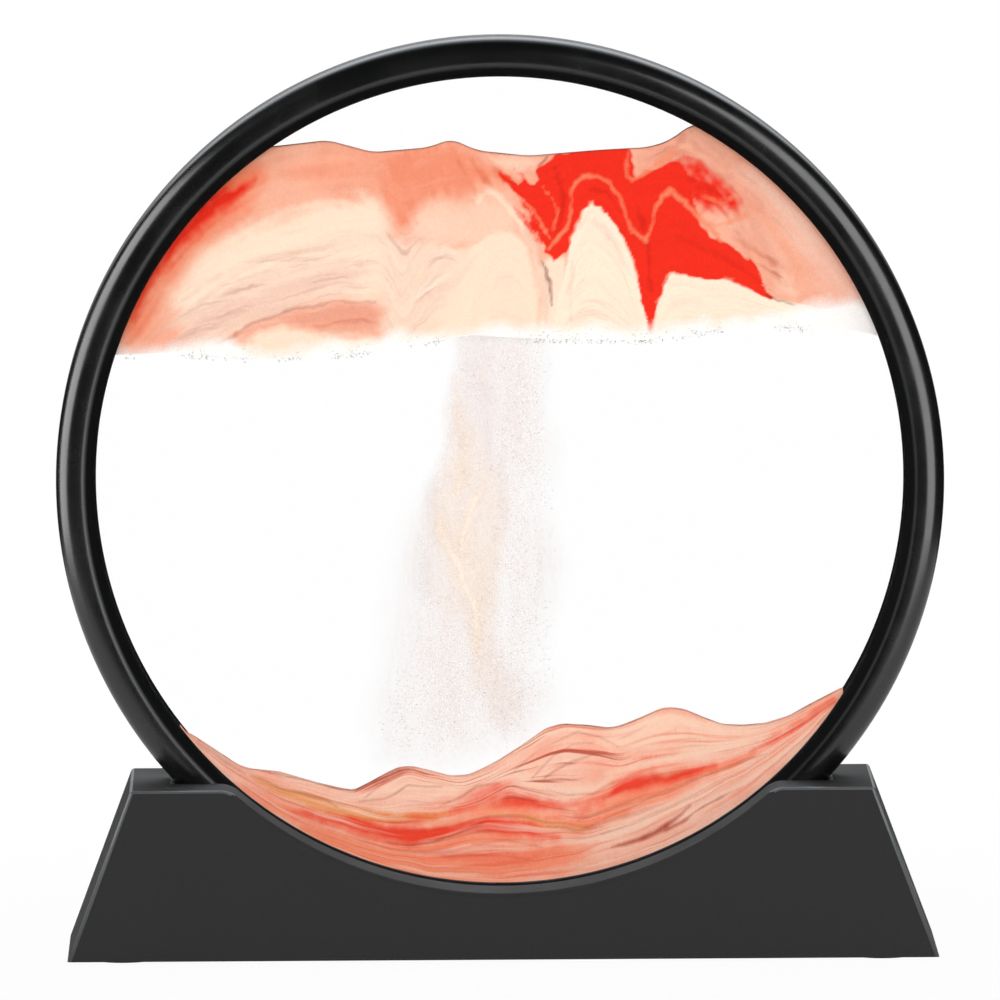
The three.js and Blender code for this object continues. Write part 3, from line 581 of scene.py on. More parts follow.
# Upper sand: peach and cream with a red mass and streaks, resting on the bubbles
upper = {
    # reach in x, height that sets the rows, mesh step, and how far the corners of lines are eased
    "span": (-78.3, 76.6), "tall": 46, "step": 0.42, "ease": 1.6, "layerEase": 1.2,
    # sway of the painted shapes by amount, size and seed; streaks by size and seed; dark rim along the top
    # by strength, depth and soft edge
    "sway": [(0.9, 7, 0), (0.4, 1.6, 3)], "streaks": [(1.5, 30)], "topShade": (0.45, 0.1, 0.5),
    # the dust's height and soft edge, its climb by height, start and run, and its waves by height, size, seed
    # and whether they change upwards
    "dustHeight": 1.8, "dustFade": 6.5, "dustClimb": (5, 63, 20),
    "dustWaves": [(2.4, 13, 21, 0), (1.4, 4, 24, 1)],
    "top": [(-45.6, 67.7), (-34.5, 68.9), (-25.4, 66.4), (-14.2, 67.3), (-9.5, 69), (-4.1, 66.6), (6.1, 65.5),
            (20.3, 66.6), (30.4, 67.1), (34.5, 68.3), (39.2, 71.7)],
    "bottom": [(-78.5, 25.7), (-68, 26.1), (-48.7, 24.7), (-24.3, 26.1), (-6.1, 29.5), (9.1, 28.5), (30.4, 28.1),
               (50.7, 31.1), (74, 29.6), (77, 28.5)],
    # which way the sand was drawn out, and the lines between its settled layers
    "flow": [
        [(-59.9, 36.2), (-50.7, 42.7), (-40.6, 46.4), (-23.3, 51.2)],
        [(-61.9, 29.1), (-52.7, 35.2), (-40.6, 39.3), (-23.3, 43.1)],
        [(-55.8, 27.5), (-47.7, 31.8), (-38.5, 34.6), (-24.3, 36.2)],
        [(-44.6, 28.1), (-34.5, 30.5), (-23.3, 31.1)],
        [(-73, 34.2), (-67, 43.3), (-59.8, 51.4), (-49.7, 59.5)],
        [(-50.7, 58.5), (-40.6, 61.6), (-23.3, 63.6)],
        [(-23.3, 66.6), (-21.9, 56.5), (-19.3, 49.4)],
        [(-19.3, 49.4), (-16.2, 38.2), (-12.2, 46.4), (-9.1, 49.4)],
        [(-14.2, 66.6), (-13.2, 56.5), (-10.1, 49.4)],
        [(-6.1, 64.6), (-2, 56.5), (4.1, 46.4), (9.7, 36.2)],
        [(-3.7, 30.1), (-3, 42.3), (1, 48.8), (5.1, 44.3), (8.1, 32.2)],
        [(11.2, 32.2), (13.2, 42.3), (18.7, 54.9), (24.3, 48.4), (29.4, 34.2)],
        [(30.8, 30.1), (33.5, 41.3), (44.6, 40.3), (54.8, 36.8), (67, 34.2)],
        [(32.5, 64.6), (40.6, 63.6), (47.7, 56.5), (52.7, 46.4), (55.8, 38.2)],
        [(40.6, 68.7), (52.7, 58.5), (62.9, 46.4), (71, 36.2)],
        [(46.7, 66.6), (60.9, 53.5), (73, 38.2)],
        [(9.9, 47.2), (13.6, 51.2), (15.2, 58.9), (20.3, 61.6), (24.8, 57.5), (26.8, 50.4), (29.6, 48.6),
         (31.6, 54.5), (35.5, 58.3), (39.4, 54.3), (44.4, 49)],
    ],
    "layers": [
        [(-79, 24), (-62, 27), (-55.8, 28.5), (-48.3, 31.5), (-40.6, 33.6), (-32, 34.8), (-25, 34.5), (-22, 30),
         (-19, 26.8), (-16, 30), (-12, 34), (-8, 33), (-4.5, 32), (-3, 37), (0, 41), (3, 41.5), (6, 38), (8.5, 31),
         (11, 30), (13, 37), (16, 43), (19, 45), (22, 42.5), (25, 37), (28.5, 31), (31, 28.5), (33, 32), (36, 35),
         (44, 34.5), (55, 33.2), (68, 31), (77, 28)],
        [(-79, 28), (-70, 33), (-61, 38), (-52.7, 40.5), (-40.6, 43.3), (-30, 45.5), (-24, 46.5), (-21.5, 42),
         (-19.5, 36.6), (-17.4, 42), (-14, 47.5), (-10, 48.2), (-6, 45), (-3.5, 43), (-1.5, 48), (1.5, 50.5),
         (4.5, 49), (7, 44.5), (9, 38), (10.5, 34), (12.5, 42), (15.5, 50.5), (18, 56), (21.5, 55), (24.5, 51),
         (27.5, 42), (30.5, 33), (32.5, 38), (34.3, 42.3), (40, 41.4), (48, 40), (55, 37.3), (65, 35), (76, 30.5)],
        [(-76, 32), (-70, 41), (-63, 49.5), (-55, 54), (-44, 57), (-32, 59), (-25, 58.5), (-21.5, 53), (-19, 50),
         (-15, 53), (-10, 55), (-5, 56), (0, 56.5), (6, 57), (9.9, 47.2), (13.6, 51.2), (15.2, 58.9), (20.3, 61.6),
         (24.8, 57.5), (26.8, 50.4), (29.6, 48.6), (31.6, 54.5), (35.5, 58.3), (39.4, 54.3), (44.4, 49), (50, 47),
         (56, 43), (64, 38), (75, 32)],
    ],
    "cream": [
        (8, 2, 1, [(-66.5, 38.2), (-59.8, 46.4), (-51.9, 51.2), (-44.2, 54.1), (-35.9, 56.3), (-27.6, 57.3),
                   (-23.5, 56.3), (-21.5, 53.3), (-18.9, 48.2), (-13.6, 49.2), (-6.1, 47.2), (-3.7, 43.9),
                   (-4.1, 36.2), (-4.5, 22), (-20.3, 22), (-23.5, 28.1), (-24.3, 36.2), (-30.4, 36.3), (-40.6, 35.2),
                   (-48.3, 32.8), (-55.8, 28.5), (-59.8, 24), (-64.9, 30.1)]),
        (3, 1, 0.9, [(-60, 23), (-55, 26.8), (-49, 30.2), (-43.5, 31.6), (-38, 30.6), (-32, 29.8), (-24, 28.8),
                     (-20, 23)]),
        (4, 1, 1, [(-14, 22), (-13, 36), (-11, 43.4), (-7, 47.6), (-2.6, 50), (2.2, 50.4), (4.9, 48.4), (6.9, 43.9),
                   (8.3, 37.2), (9.1, 30.1), (9.3, 22)]),
        (2.2, 0.6, 1, [(8.4, 22), (8.9, 36), (7.8, 43), (9.8, 45.4), (12.2, 45.2), (13.6, 44.5), (13, 36),
                       (12.5, 22)]),
        (8, 2, 0.6, [(-19.5, 49.5), (-18, 55.5), (-12, 57), (-7, 56.4), (-2, 58.4), (2, 57), (5, 52), (3, 48),
                     (-6, 46), (-14, 46)]),
        (2.4, 0.8, 0.85, [(-5, 53.8, 0.4), (-3.6, 56.4, 0.6), (-1.6, 58, 0.7), (0.6, 57, 0.8), (4.1, 52, 0.8),
                          (7.1, 46.2, 0.6), (8.8, 38, 0.4)]),
        (6, 3, 0.5, [(44.2, 52), (49.7, 48.8), (53.6, 44.7), (56, 38.6), (60.9, 35.8), (59.4, 41.9), (56.4, 48.4),
                     (51.7, 54.1)]),
        (2.5, 1, 0.5, [(-4, 66), (4, 65.5), (9, 65), (7.5, 63), (2, 62.6), (-2, 64)]),
    ],
    "ivory": [
        (1, 0.3, 1, [(10.8, 22), (11.6, 36.2), (13.6, 43.9), (15.8, 50.8), (17.4, 55.3), (18.7, 56.1), (21.5, 54.7),
                     (23.9, 51.6), (26, 46.8), (27.6, 41.5), (29.4, 35.8), (31, 30.1), (30.8, 22)]),
        (1.2, 0.4, 1, [(31.2, 22), (31.9, 33.8), (33.3, 39.3), (34.3, 42.1), (38.5, 41.5), (46.1, 40.1), (50.5, 38.6),
                       (55, 37), (60.9, 35.6), (68, 33.8), (75.1, 30.1), (75.1, 22)]),
    ],
    "pink": [
        (1.8, 0.4, 0.9, [(5.3, 50, 0.45), (7.3, 46.4, 0.45), (8.7, 42.7, 0.41), (9.7, 35.8, 0.41),
                         (10.1, 28.5, 0.32)]),
        (2.6, 0.8, 0.6, [(16.8, 51.4, 0.5), (18.7, 52.6, 0.5), (21.5, 51.3, 0.5), (23.5, 47.6, 0.45),
                         (24.8, 43.1, 0.3)]),
        (2, 0.6, 0.6, [(15, 43.9, 0.3), (14.4, 38.2, 0.3), (14.2, 31.8, 0.2)]),
        (10, 2, 0.4, [(-24, 53), (-14, 51), (-5, 46), (-8, 38), (-15, 28), (-24, 27), (-26, 40)]),
        (10, 3, 0.75, [(-65, 34), (-56, 40), (-44, 43), (-32, 45), (-26, 42), (-31, 38), (-42, 35), (-52, 31),
                       (-60, 26), (-67, 27)]),
    ],
    "fold": [
        (5, 1, 0.9, [(-24, 50), (-16, 49.5), (-9, 48.5), (-9.5, 42), (-13.5, 36), (-22, 37)]),
        (7, 1, 0.4, [(-24, 37), (-14, 37), (-13, 28), (-22, 27)]),
        (12, 2, 0.6, [(-64, 34), (-56, 42), (-44, 47), (-25, 49), (-25, 38), (-40, 36), (-56, 29), (-66, 27)]),
        (3, 0.5, 0.15, [(-3.5, 24), (-2, 42), (2, 48), (6, 44), (9, 24)]),
        (3, 0.5, 0.3, [(12, 24), (14, 43), (18.6, 54), (24, 49), (29.5, 24)]),
        (4, 0.5, 0.2, [(33, 24), (35, 40), (46, 38.5), (70, 31), (70, 24)]),
    ],
    "halo": [
        (9, 1.5, 0.95, [(-74.1, 32.2, 3), (-72, 39.3, 3.6), (-66.9, 47.9, 4.2), (-60.8, 54.2, 4.6),
                        (-54.8, 58.5, 4.4), (-49.3, 62, 2.4)]),
        (11, 2, 0.4, [(-50, 62), (-42, 66), (-30, 66), (-26, 62), (-36, 59)]),
    ],
    "orange": [
        (7, 2, 1, [(-22.6, 66), (-16.2, 67.6), (-11, 68.8), (-6.5, 67.6), (-2.8, 64.4), (0.6, 62), (3, 60.6),
                   (1, 59.6), (-1.6, 60.4), (-4.9, 58.8), (-7.7, 57.6), (-12.2, 58.2), (-15.2, 57.6), (-17.9, 51.8),
                   (-20.3, 50.4), (-22.3, 55.5), (-23.5, 59.5)]),
    ],
    "rust": [
        (5, 3, 0.7, [(-6.5, 64.5, 0.4), (-3.4, 62.2, 0.7), (-2.2, 60, 0.6), (-4, 58.6, 0.4)]),
        (4, 3, 0.7, [(-1, 61.5, 0.3), (3, 60, 0.6), (5.5, 57, 0.4)]),
    ],
    "salmon": [
        (4, 1.6, 1, [(-45.5, 33), (-40.6, 34.6), (-32.5, 35.8), (-27, 36), (-24.2, 34), (-26, 31), (-33.1, 31.4),
                     (-40.6, 32.2)]),
        (1.4, 0.3, 0.9, [(-59.2, 26.7, 0.15), (-55.8, 28.9, 0.2), (-51.9, 30.7, 0.25), (-48.3, 32.4, 0.3),
                         (-44.2, 33.9, 0.4), (-40.6, 34.8, 0.4), (-35.9, 35.4, 0.3), (-30.4, 36, 0.2),
                         (-25.6, 36.4, 0.1)]),
        (7, 4, 0.9, [(36, 68), (45, 65), (51, 58), (55, 50), (58, 42), (55, 39), (51, 46), (46, 54), (38, 60)]),
        (4, 2, 0.8, [(28, 66), (34, 68), (38, 70), (38, 66), (33, 64), (28.5, 61.5)]),
    ],
    # lighter near the ring at the right: partly the sand's pink tint, partly painted light that makes up for the ring's
    # shadow
    "blush": [
        (10, 2, 0.8, [(52, 64), (60, 56), (68, 46), (75, 34), (72, 32), (64, 42), (56, 53), (48, 62)]),
    ],
    "red": [
        (1, 0.9, 1, [(11.6, 66.2), (20.3, 69), (26, 69), (27, 63.6), (28.4, 61), (31.4, 63), (35.4, 64.6), (39, 62),
                     (39.5, 57), (40, 53.1), (43, 48.8), (48.7, 46), (51.5, 43.5), (53.8, 39.3), (55, 36.8),
                     (50.5, 38.6), (46.1, 40.3), (38.1, 41.5), (34.3, 41.9), (33.5, 40.3), (32.1, 34.8), (31, 29),
                     (29.2, 35.8), (27.6, 41.5), (26, 47), (24.3, 51.4), (22.1, 54.3), (18.3, 55.9), (17, 54.7),
                     (15.2, 49.8), (13.8, 46.4), (11, 44.7), (9.3, 46), (8.2, 50.8), (6.8, 55), (4.6, 57.2), (3, 59),
                     (1.2, 60.8), (4, 60.1), (5.2, 61.2), (7.4, 60), (8.4, 61), (7.8, 62.8), (9.7, 64)]),
        (4, 3, 0.85, [(35, 64.5), (40.4, 63.8), (45.2, 60.4), (49, 56), (48, 53.7), (44.5, 54.6), (41.5, 54),
                      (38, 57)]),
        (4, 1.2, 0.9, [(-73.4, 33.2, 0.3), (-71.2, 39.8, 0.9), (-66.2, 47.6, 1.5), (-60.2, 53.8, 2.1),
                       (-54.6, 57.8, 1.9), (-49.5, 61, 0.4)]),
        (1.4, 1.4, 0.85, [(0.5, 62, 0.1), (3.5, 58.8, 0.5), (6.5, 54.5, 0.7), (9, 48.5, 0.8)]),
        (1.2, 1.2, 0.8, [(2.5, 63, 0.1), (5.5, 60.4, 0.4), (8.5, 57.5, 0.6)]),
        (1.2, 1.2, 0.7, [(3, 55.4, 0.1), (5.6, 52.4, 0.4), (8, 48.6, 0.5)]),
    ],
    "deep": [
        (1.6, 0.8, 0.8, [(12, 63, 0.3), (13.2, 58, 0.5), (12.4, 53, 0.5), (11.3, 49, 0.4)]),
        (1.6, 0.8, 0.8, [(27.5, 57, 0.3), (28.8, 52, 0.4), (30.5, 46, 0.5), (31, 38, 0.4)]),
        (2, 1, 0.5, [(36, 50, 0.4), (42, 46, 0.5), (49, 42.5, 0.5), (53.5, 39, 0.3)]),
        (1.4, 0.6, 0.7, [(18, 59, 0.2), (22, 58.2, 0.3), (24.2, 54.5, 0.3)]),
        (2, 1.5, 0.8, [(38, 61.5, 0.3), (42, 59.5, 0.5), (46, 56.2, 0.4)]),
    ],
    "ribbon": [
        (1.5, 0.4, 0.9, [(9.9, 47.2, 0.33), (11.4, 48.8, 0.41), (13.6, 51.2, 0.37), (14.6, 55.3, 0.29),
                         (15.2, 58.9, 0.33), (16.8, 61.2, 0.41), (20.3, 61.6, 0.41), (22.9, 60.4, 0.37),
                         (24.8, 57.5, 0.27), (25.6, 53.3, 0.21), (26.8, 50.4, 0.29), (29.6, 48.6, 0.45),
                         (30.6, 51.2, 0.29), (31.6, 54.5, 0.25), (33.3, 57.3, 0.37), (35.5, 58.3, 0.49),
                         (37.7, 56.5, 0.49), (39.4, 54.3, 0.49), (41.8, 51.2, 0.53), (44.4, 49, 0.53)]),
        (1.5, 0.6, 0.8, [(25.8, 69, 0.2), (25.8, 64.6, 0.2), (26.4, 61.8, 0.3), (27.8, 60.4, 0.4), (29.6, 61.8, 0.49),
                         (32.1, 64, 0.53), (35.5, 66.2, 0.61)]),
        (1.8, 1, 0.7, [(40.6, 52, 0.24), (43.8, 51.2, 0.37), (47.1, 52, 0.49), (49.9, 53.3, 0.5)]),
        (1.2, 0.8, 0.8, [(5.2, 56.8, 0.2), (8.2, 53.2, 0.3), (10.4, 49.2, 0.3)]),
        (1.2, 0.8, 0.7, [(9.5, 59.5, 0.1), (11.6, 55.4, 0.25), (11.2, 51, 0.3)]),
        (1.4, 0.9, 0.6, [(41, 57.4, 0.2), (44.6, 55.6, 0.4), (48.5, 57.5, 0.3)]),
    ],
    "dark": [
        (0.9, 0, 1, [(8.7, 44.3, 0.12), (9.3, 41.9, 0.26), (10.3, 38.6, 0.26), (10.8, 35.4, 0.08)]),
        (0.8, 0, 0.9, [(54.4, 37.2, 0.14), (56.8, 36.4, 0.14), (60.1, 35.6, 0.08)]),
        (0.8, 0, 0.7, [(31, 30.5, 0.1), (31, 26.5, 0.05)]),
        (0.9, 0.3, 0.8, [(8.2, 63.4, 0.1), (9.6, 64.6, 0.2), (10.2, 65.6, 0.2)]),
        (1.2, 0.2, 0.5, [(-57, 27.9, 0.05), (-51.5, 31.1, 0.1), (-46.5, 33.4, 0.2), (-42.5, 34.8, 0.3),
                         (-38.5, 35.5, 0.25), (-32, 36.2, 0.12), (-25.5, 36.6, 0.05)]),
    ],
    "look": {
        "name": "upper_dyed_sand", "ground": ("#f2a184", "#f6b498"), "grainSize": 0.4, "raggedSize": 1.6,
        "driftSize": 16, "speck": 0.04, "streak": -0.04,
        "layers": [
            ("cream", "#fde0c7", 1, 0.25), ("ivory", "#fee8d1", 1, 0.25), ("blush", "#fdd3bf", 0.85, 0.3),
            ("pink", "#e9bba9", 0.7, 0.3), ("fold", "#c88d7e", 0.7, 12, 9.7, 0.53, 0.68),
            ("fold", "#dcaa9c", 0.45, 18, 4.7, 0.5, 0.72), ("fold", "#fff1de", 0.5, 16, 6.3, 0.52, 0.7),
            ("halo", "#f57e58", 0.9, 0.3), ("orange", "#f08e6d", 0.9, 0.35),
            ("orange", "#f7b89c", 0.4, 14, 5.7, 0.5, 0.7), ("rust", "#e0683f", 0.75, 0.4),
            ("salmon", "#ea9f86", 0.8, 0.3), ("salmon", "#cf7258", 0.7, 16, 6.1, 0.52, 0.68),
            ("red", "#f0301f", 1, 0.3), ("deep", "#d3261b", 0.8, 0.3), ("ribbon", "#f58f69", 0.9, 0.3),
            ("dark", "#7a2c1c", 0.9, 0.1), ("pale", "#fffaf6", 1, 0.3),
        ],
    },
}


def upperSand():
    topLine, bottomLine = (lineHeight(upper[line], upper["ease"]) for line in ("top", "bottom"))
    piece, _ = sandMass("upper_sand", upper, topLine, bottomLine,
                        ["upper_sand_red", "upper_sand_cream", "upper_sand_peach_left", "upper_sand_peach_right"])
    # white dust along the foot, which climbs higher towards the ring at the right
    x, y, z = placesOf(piece)
    climb, fromX, run = upper["dustClimb"]
    edge = bottomLine(x) + upper["dustHeight"] + climb * soft(x - fromX, run)
    for amount, size, seed, upwards in upper["dustWaves"]:
        edge = edge + amount * wobble(x, y, upwards * z, size, seed)
    store(piece, "pale", soft(edge - z, upper["dustFade"]))


upperSand()


# Lower sand: dunes of settled layers, with the same kinds of values
lower = {
    "span": (-65.2, 69.4), "tall": 32, "step": 0.4, "layerEase": 1.2,
    "sway": [(0.35, 5, 0)], "streaks": [(0.9, 50), (2.4, 60)], "topShade": (0.4, 0.08, 0.5),
    # shares that come from the broad streaks, the fine ones and a shift
    "shares": {"pale": (0.7, 0.6, 0), "rust": (-0.6, -0.7, -0.1)},
    "crest": [(-65.3, -50.6), (-62.5, -52), (-53.4, -58.1), (-51.1, -58.9), (-45.2, -59.5), (-37.5, -61.8),
              (-32.5, -63), (-30, -63.4), (-27.2, -62), (-23.5, -60), (-20.7, -58.7), (-18.1, -58.6), (-14.4, -59.5),
              (-10.3, -60.6), (-6.7, -60.4), (-3.7, -59.1), (0, -57.1), (4.1, -54.5), (9.1, -51), (12.4, -50.1),
              (17.4, -50.4), (21.9, -51), (24.1, -50.6), (28.2, -49), (32.5, -47.1), (34.7, -46.9), (37.5, -47.4),
              (41.2, -49), (45, -50.4), (49.1, -50.6), (53.8, -50.2), (58.4, -48.8), (63.1, -46.2), (69.6, -42.9)],
    "flow": [
        [(-62, -53), (-49, -61.2), (-35, -65.2), (-24, -68), (-13, -68.2), (-4, -66), (2, -62.6), (8, -64.5),
         (15, -66.2), (22, -63.5), (29, -60.2), (45, -57.5), (54, -54.5), (70, -44.4)],
        [(-56, -60), (-44, -66.8), (-30, -71.5), (-19.5, -74), (-11, -72.6), (-3.7, -69.9), (8, -71.2), (18, -71.8),
         (31.6, -67.6), (50, -58.8), (66, -48.5)],
        [(-45, -69), (-30, -75), (-15, -78.5), (0, -78.5), (14, -76.5), (28, -72.5), (40, -66.5), (54, -58)],
        [(-31, -64.2), (-26, -62), (-20, -59.5), (-14, -60.4), (-8, -61.6), (-3, -60)],
        [(0, -58.4), (6, -54.2), (11, -51.6), (16, -51.6), (21, -53), (25, -55.6)],
        [(24, -52.5), (30, -49.6), (34.5, -48.6), (40, -50.4), (47, -52.3), (55, -51.4), (64, -46.6)],
        [(2, -60.5), (8, -57.4), (13, -55), (18, -55), (24, -57.6), (32, -57), (44, -55), (54, -52.6)],
    ],
    "layers": [
        [(-60, -56.5), (-45, -69), (-30, -75), (-15, -78.5), (0, -78.5), (14, -76.5), (28, -72.5), (40, -66.5),
         (54, -58), (68, -46)],
        [(-62, -54), (-56, -59), (-44, -66.4), (-30, -71.5), (-19.5, -74), (-11, -72.6), (-3.7, -69.9), (8, -71.2),
         (18, -71.8), (31.6, -67.6), (50, -58.8), (66, -47.6)],
        [(-62, -53), (-49, -61.2), (-35, -65.2), (-24, -68), (-13, -68.2), (-4, -66), (2, -62.6), (8, -64.5),
         (15, -66.2), (22, -63.5), (29, -60.2), (45, -57.5), (54, -54.5), (70, -44.4)],
        [(-62, -52.5), (-50, -60), (-37, -63.2), (-30, -65), (-24, -63.5), (-19, -61), (-13, -62.5), (-8, -63.5),
         (-3, -62), (2, -59.5), (8, -57.4), (13, -56), (18, -56.5), (24, -57.6), (32, -55.5), (40, -54.6), (47, -54),
         (55, -52.6), (64, -47.2), (70, -43.5)],
    ],
    "cream": [
        (1.6, 0.5, 1, [(-2.4, -58.3, 0.41), (1.6, -55.5, 0.65), (5.5, -53.5, 0.69), (9.1, -51.4, 0.69),
                       (12.4, -50.4, 0.61), (17, -50.6, 0.32)]),
        (6, 2.5, 0.9, [(21.5, -54.1, 1.22), (28.4, -52.2, 2.64), (34.1, -50.8, 3.25), (40.6, -52.4, 2.43),
                       (48.7, -53.1, 2.03), (56.8, -51.6, 1.42), (64.5, -46.8, 0.81)]),
        (3, 1, 0.9, [(0.8, -60.4, 0.61), (7.3, -62.4, 0.91), (13.4, -63.8, 1.01), (18.5, -63.2, 1.01),
                     (23.9, -60.4, 0.91), (30.6, -58.1, 0.91), (40, -55.7, 1.01), (49.1, -53.7, 0.81)]),
        (4, 1.5, 0.9, [(8.1, -75.8, 0.81), (13.4, -74.6, 1.22), (21.3, -72.5, 1.22), (30.6, -68.9, 0.81),
                       (38.5, -65.2, 0.41)]),
        (4, 1.5, 0.9, [(-17.4, -66.4, 0.61), (-10.3, -62.8, 0.91), (-3.7, -60.4, 1.01), (4.1, -60.4, 0.91)]),
        (3, 1, 0.8, [(-44, -60.5, 0.5), (-36, -63.5, 0.8), (-27, -64.6, 1), (-20, -61.6, 0.8), (-13, -62.2, 0.6)]),
        (5, 2, 0.6, [(-30, -76, 0.8), (-16, -79, 0.9), (0, -80, 0.9), (14, -78, 0.8)]),
    ],
    "halo": [
        (8, 3, 0.85, [(-52, -62), (-30, -70), (-10, -73), (8, -72), (18, -73), (14, -80), (0, -86), (-22, -83),
                      (-42, -73)]),
        (6, 2, 0.85, [(-44.2, -66.6, 0.8), (-33.5, -69.9, 1.6), (-23.5, -71.5, 2.6), (-14.4, -71.6, 2.6),
                      (-5.9, -68.6, 2.4), (1, -67, 3.2), (8.1, -69, 2.4), (17.2, -68.4, 1.4)]),
        (6, 2, 0.9, [(16.6, -67.6, 1.6), (23.9, -64.6, 3.2), (30.6, -63, 3.2), (37.9, -60.8, 2), (48, -57.8, 1.2),
                     (56.2, -53.3, 1.2), (67.4, -45.5, 0.8)]),
        (6, 3, 0.9, [(-16, -75, 2), (-6, -73.5, 3.4), (4, -72.5, 3.4), (14, -71, 2.4), (24, -68, 1.4)]),
    ],
    "orange": [
        (3, 1, 0.95, [(-50.1, -61, 0.5), (-43.4, -63.8, 1.2), (-37.9, -65.6, 1.5), (-33.5, -67, 1.5),
                      (-28, -68.3, 1.3), (-21.7, -69.2, 1.1), (-14.4, -69.3, 0.8), (-11.8, -68.5, 0.3)]),
        (2.2, 0.8, 0.85, [(-2.8, -67.7, 0.6), (3.4, -68.5, 0.7), (8.7, -69.9, 0.7), (13.4, -71.1, 0.5),
                          (18.3, -71.1, 0.3)]),
    ],
    "red": [
        (5, 1.6, 0.95, [(-42, -67.4, 0.3), (-33.5, -69.6, 1), (-28, -70.6, 1.5), (-23.5, -71.6, 2.1),
                        (-19.1, -72.2, 2.3), (-14.4, -72.1, 1.9), (-9.9, -70.7, 1.2), (-5.9, -69.9, 0.6)]),
        (7, 2, 0.8, [(-9.5, -67, 0.3), (-6.1, -65.6, 1.2), (-3, -65, 2), (1, -65, 2.3), (4.1, -65.4, 2),
                     (8.1, -66.6, 1.1), (13.4, -67.7, 0.6), (18.2, -67.4, 0.3)]),
        (4.4, 1.6, 0.9, [(-8, -71.4, 0.5), (-2.4, -70.4, 1.9), (1.6, -70.9, 2.1), (6.1, -72.1, 1.5),
                         (11.5, -73.3, 0.5)]),
        (5, 2, 0.55, [(-16, -76, 0.5), (-6, -76.6, 1.2), (4, -76.4, 1.2), (12, -74.6, 0.6)]),
        (3, 1.2, 0.95, [(16.6, -67.1, 0.2), (20.3, -65.6, 0.6), (23.9, -63.4, 1.4), (27.8, -62, 1.6),
                        (30.6, -61.2, 1.4), (33.5, -61.4, 0.8), (37.9, -60, 0.5), (43, -58.3, 0.3)]),
        (2.2, 0.8, 0.9, [(50.5, -55.8, 0.2), (53.8, -54.1, 0.7), (56.2, -53.1, 0.8), (59.8, -50.8, 0.5),
                         (63.1, -48.8, 0.4), (67.4, -45.5, 0.2)]),
    ],
    "deep": [
        (2.4, 0.8, 0.6, [(-30, -63.4), (-27, -61.4), (-21, -58.4), (-17, -58.4), (-20, -60.2), (-25, -62.2)]),
        (1.4, 0.6, 0.9, [(22.5, -75.2, 0.2), (27.8, -73.5, 0.5), (30.6, -72.3, 0.7), (33.3, -70.7, 0.75),
                         (36.5, -68.3, 0.4), (38.5, -66.8, 0.2)]),
        (1.2, 0.5, 0.8, [(32.9, -71.7, 0.4), (37.5, -69.3, 0.35), (42.2, -66.4, 0.2), (49.1, -62.8, 0.1)]),
    ],
    "dark": [
        (0.9, 0.1, 0.8, [(-29.8, -63.2, 0.1), (-27.2, -61.8, 0.3), (-23.5, -59.7, 0.3), (-20.7, -58.7, 0.1)]),
        (0.8, 0.1, 0.6, [(-27.6, -64.6, 0.1), (-23.5, -61.4, 0.12), (-18.9, -59.3, 0.12), (-15, -60, 0.08)]),
        (0.8, 0.1, 0.7, [(-28.8, -65.4, 0.1), (-23.9, -64.8, 0.14), (-21.3, -63.6, 0.14), (-18.9, -62.2, 0.14),
                         (-12.2, -62.6, 0.08)]),
        (0.9, 0.1, 0.7, [(-12.6, -66.6, 0.1), (-8.5, -64.8, 0.2), (-4.9, -62.6, 0.2), (-0.8, -62.2, 0.1)]),
        (0.9, 0.1, 0.6, [(-51.1, -60, 0.1), (-45.2, -62.6, 0.16), (-39.8, -64.2, 0.18), (-35.7, -65.2, 0.18),
                         (-33.3, -66.6, 0.1)]),
        (0.9, 0.1, 0.7, [(-23.5, -73.5, 0.1), (-19.1, -74.4, 0.16), (-14.2, -74, 0.16), (-9.7, -72.5, 0.14),
                         (-3.7, -69.9, 0.1)]),
        (0.8, 0.1, 0.6, [(2.4, -59.5, 0.08), (7.3, -55.3, 0.12), (12, -53.1, 0.12), (15.6, -51.6, 0.12),
                         (19.9, -52.4, 0.1), (23.9, -54.7, 0.08)]),
        (0.8, 0.1, 0.7, [(8.7, -61, 0.1), (13.4, -58.1, 0.14), (17.7, -56.7, 0.1)]),
        (0.8, 0.1, 0.6, [(10.5, -59.7, 0.1), (14.8, -57.3, 0.12), (18.9, -56.3, 0.12), (23.3, -56.1, 0.08)]),
        (0.8, 0.1, 0.6, [(6.1, -60.8, 0.08), (10.5, -56.5, 0.1), (14.6, -54.1, 0.1), (18.7, -53.7, 0.08)]),
        (1, 0.1, 0.8, [(9, -70.6, 0.1), (15.2, -71.7, 0.2), (20.5, -70.8, 0.1)]),
        (0.8, 0.1, 0.6, [(16.6, -71.1, 0.1), (30.6, -65, 0.14), (44.6, -59.5, 0.14), (54, -56.1, 0.08)]),
        (0.8, 0.1, 0.5, [(20.3, -72.5, 0.1), (32.5, -67.7, 0.12), (45, -62.2, 0.08)]),
        (0.8, 0.1, 0.5, [(15.2, -69.7, 0.08), (28.4, -65.2, 0.1), (40.6, -60.8, 0.1), (51.1, -56.9, 0.08)]),
        (0.8, 0.1, 0.6, [(9.1, -63.2, 0.1), (13.4, -64.6, 0.14), (18.3, -64.2, 0.14), (22.7, -61.8, 0.08)]),
        (0.8, 0.1, 0.6, [(-6.1, -74.4, 0.1), (1, -73.5, 0.14), (8.1, -75, 0.1)]),
        (0.8, 0.1, 0.5, [(-12.2, -76.6, 0.08), (-4.1, -76.6, 0.12), (6.1, -77.4, 0.08)]),
        (1, 0.3, 0.5, [(-61.5, -53.2, 0.2), (-56, -57.2, 0.4), (-52, -59.6, 0.2)]),
    ],
    "veined": [
        (6, 2, 1, [(-34, -62), (-19, -57), (-4, -60), (12, -49), (26, -50), (27, -58), (14, -63), (0, -66),
                   (-20, -66)]),
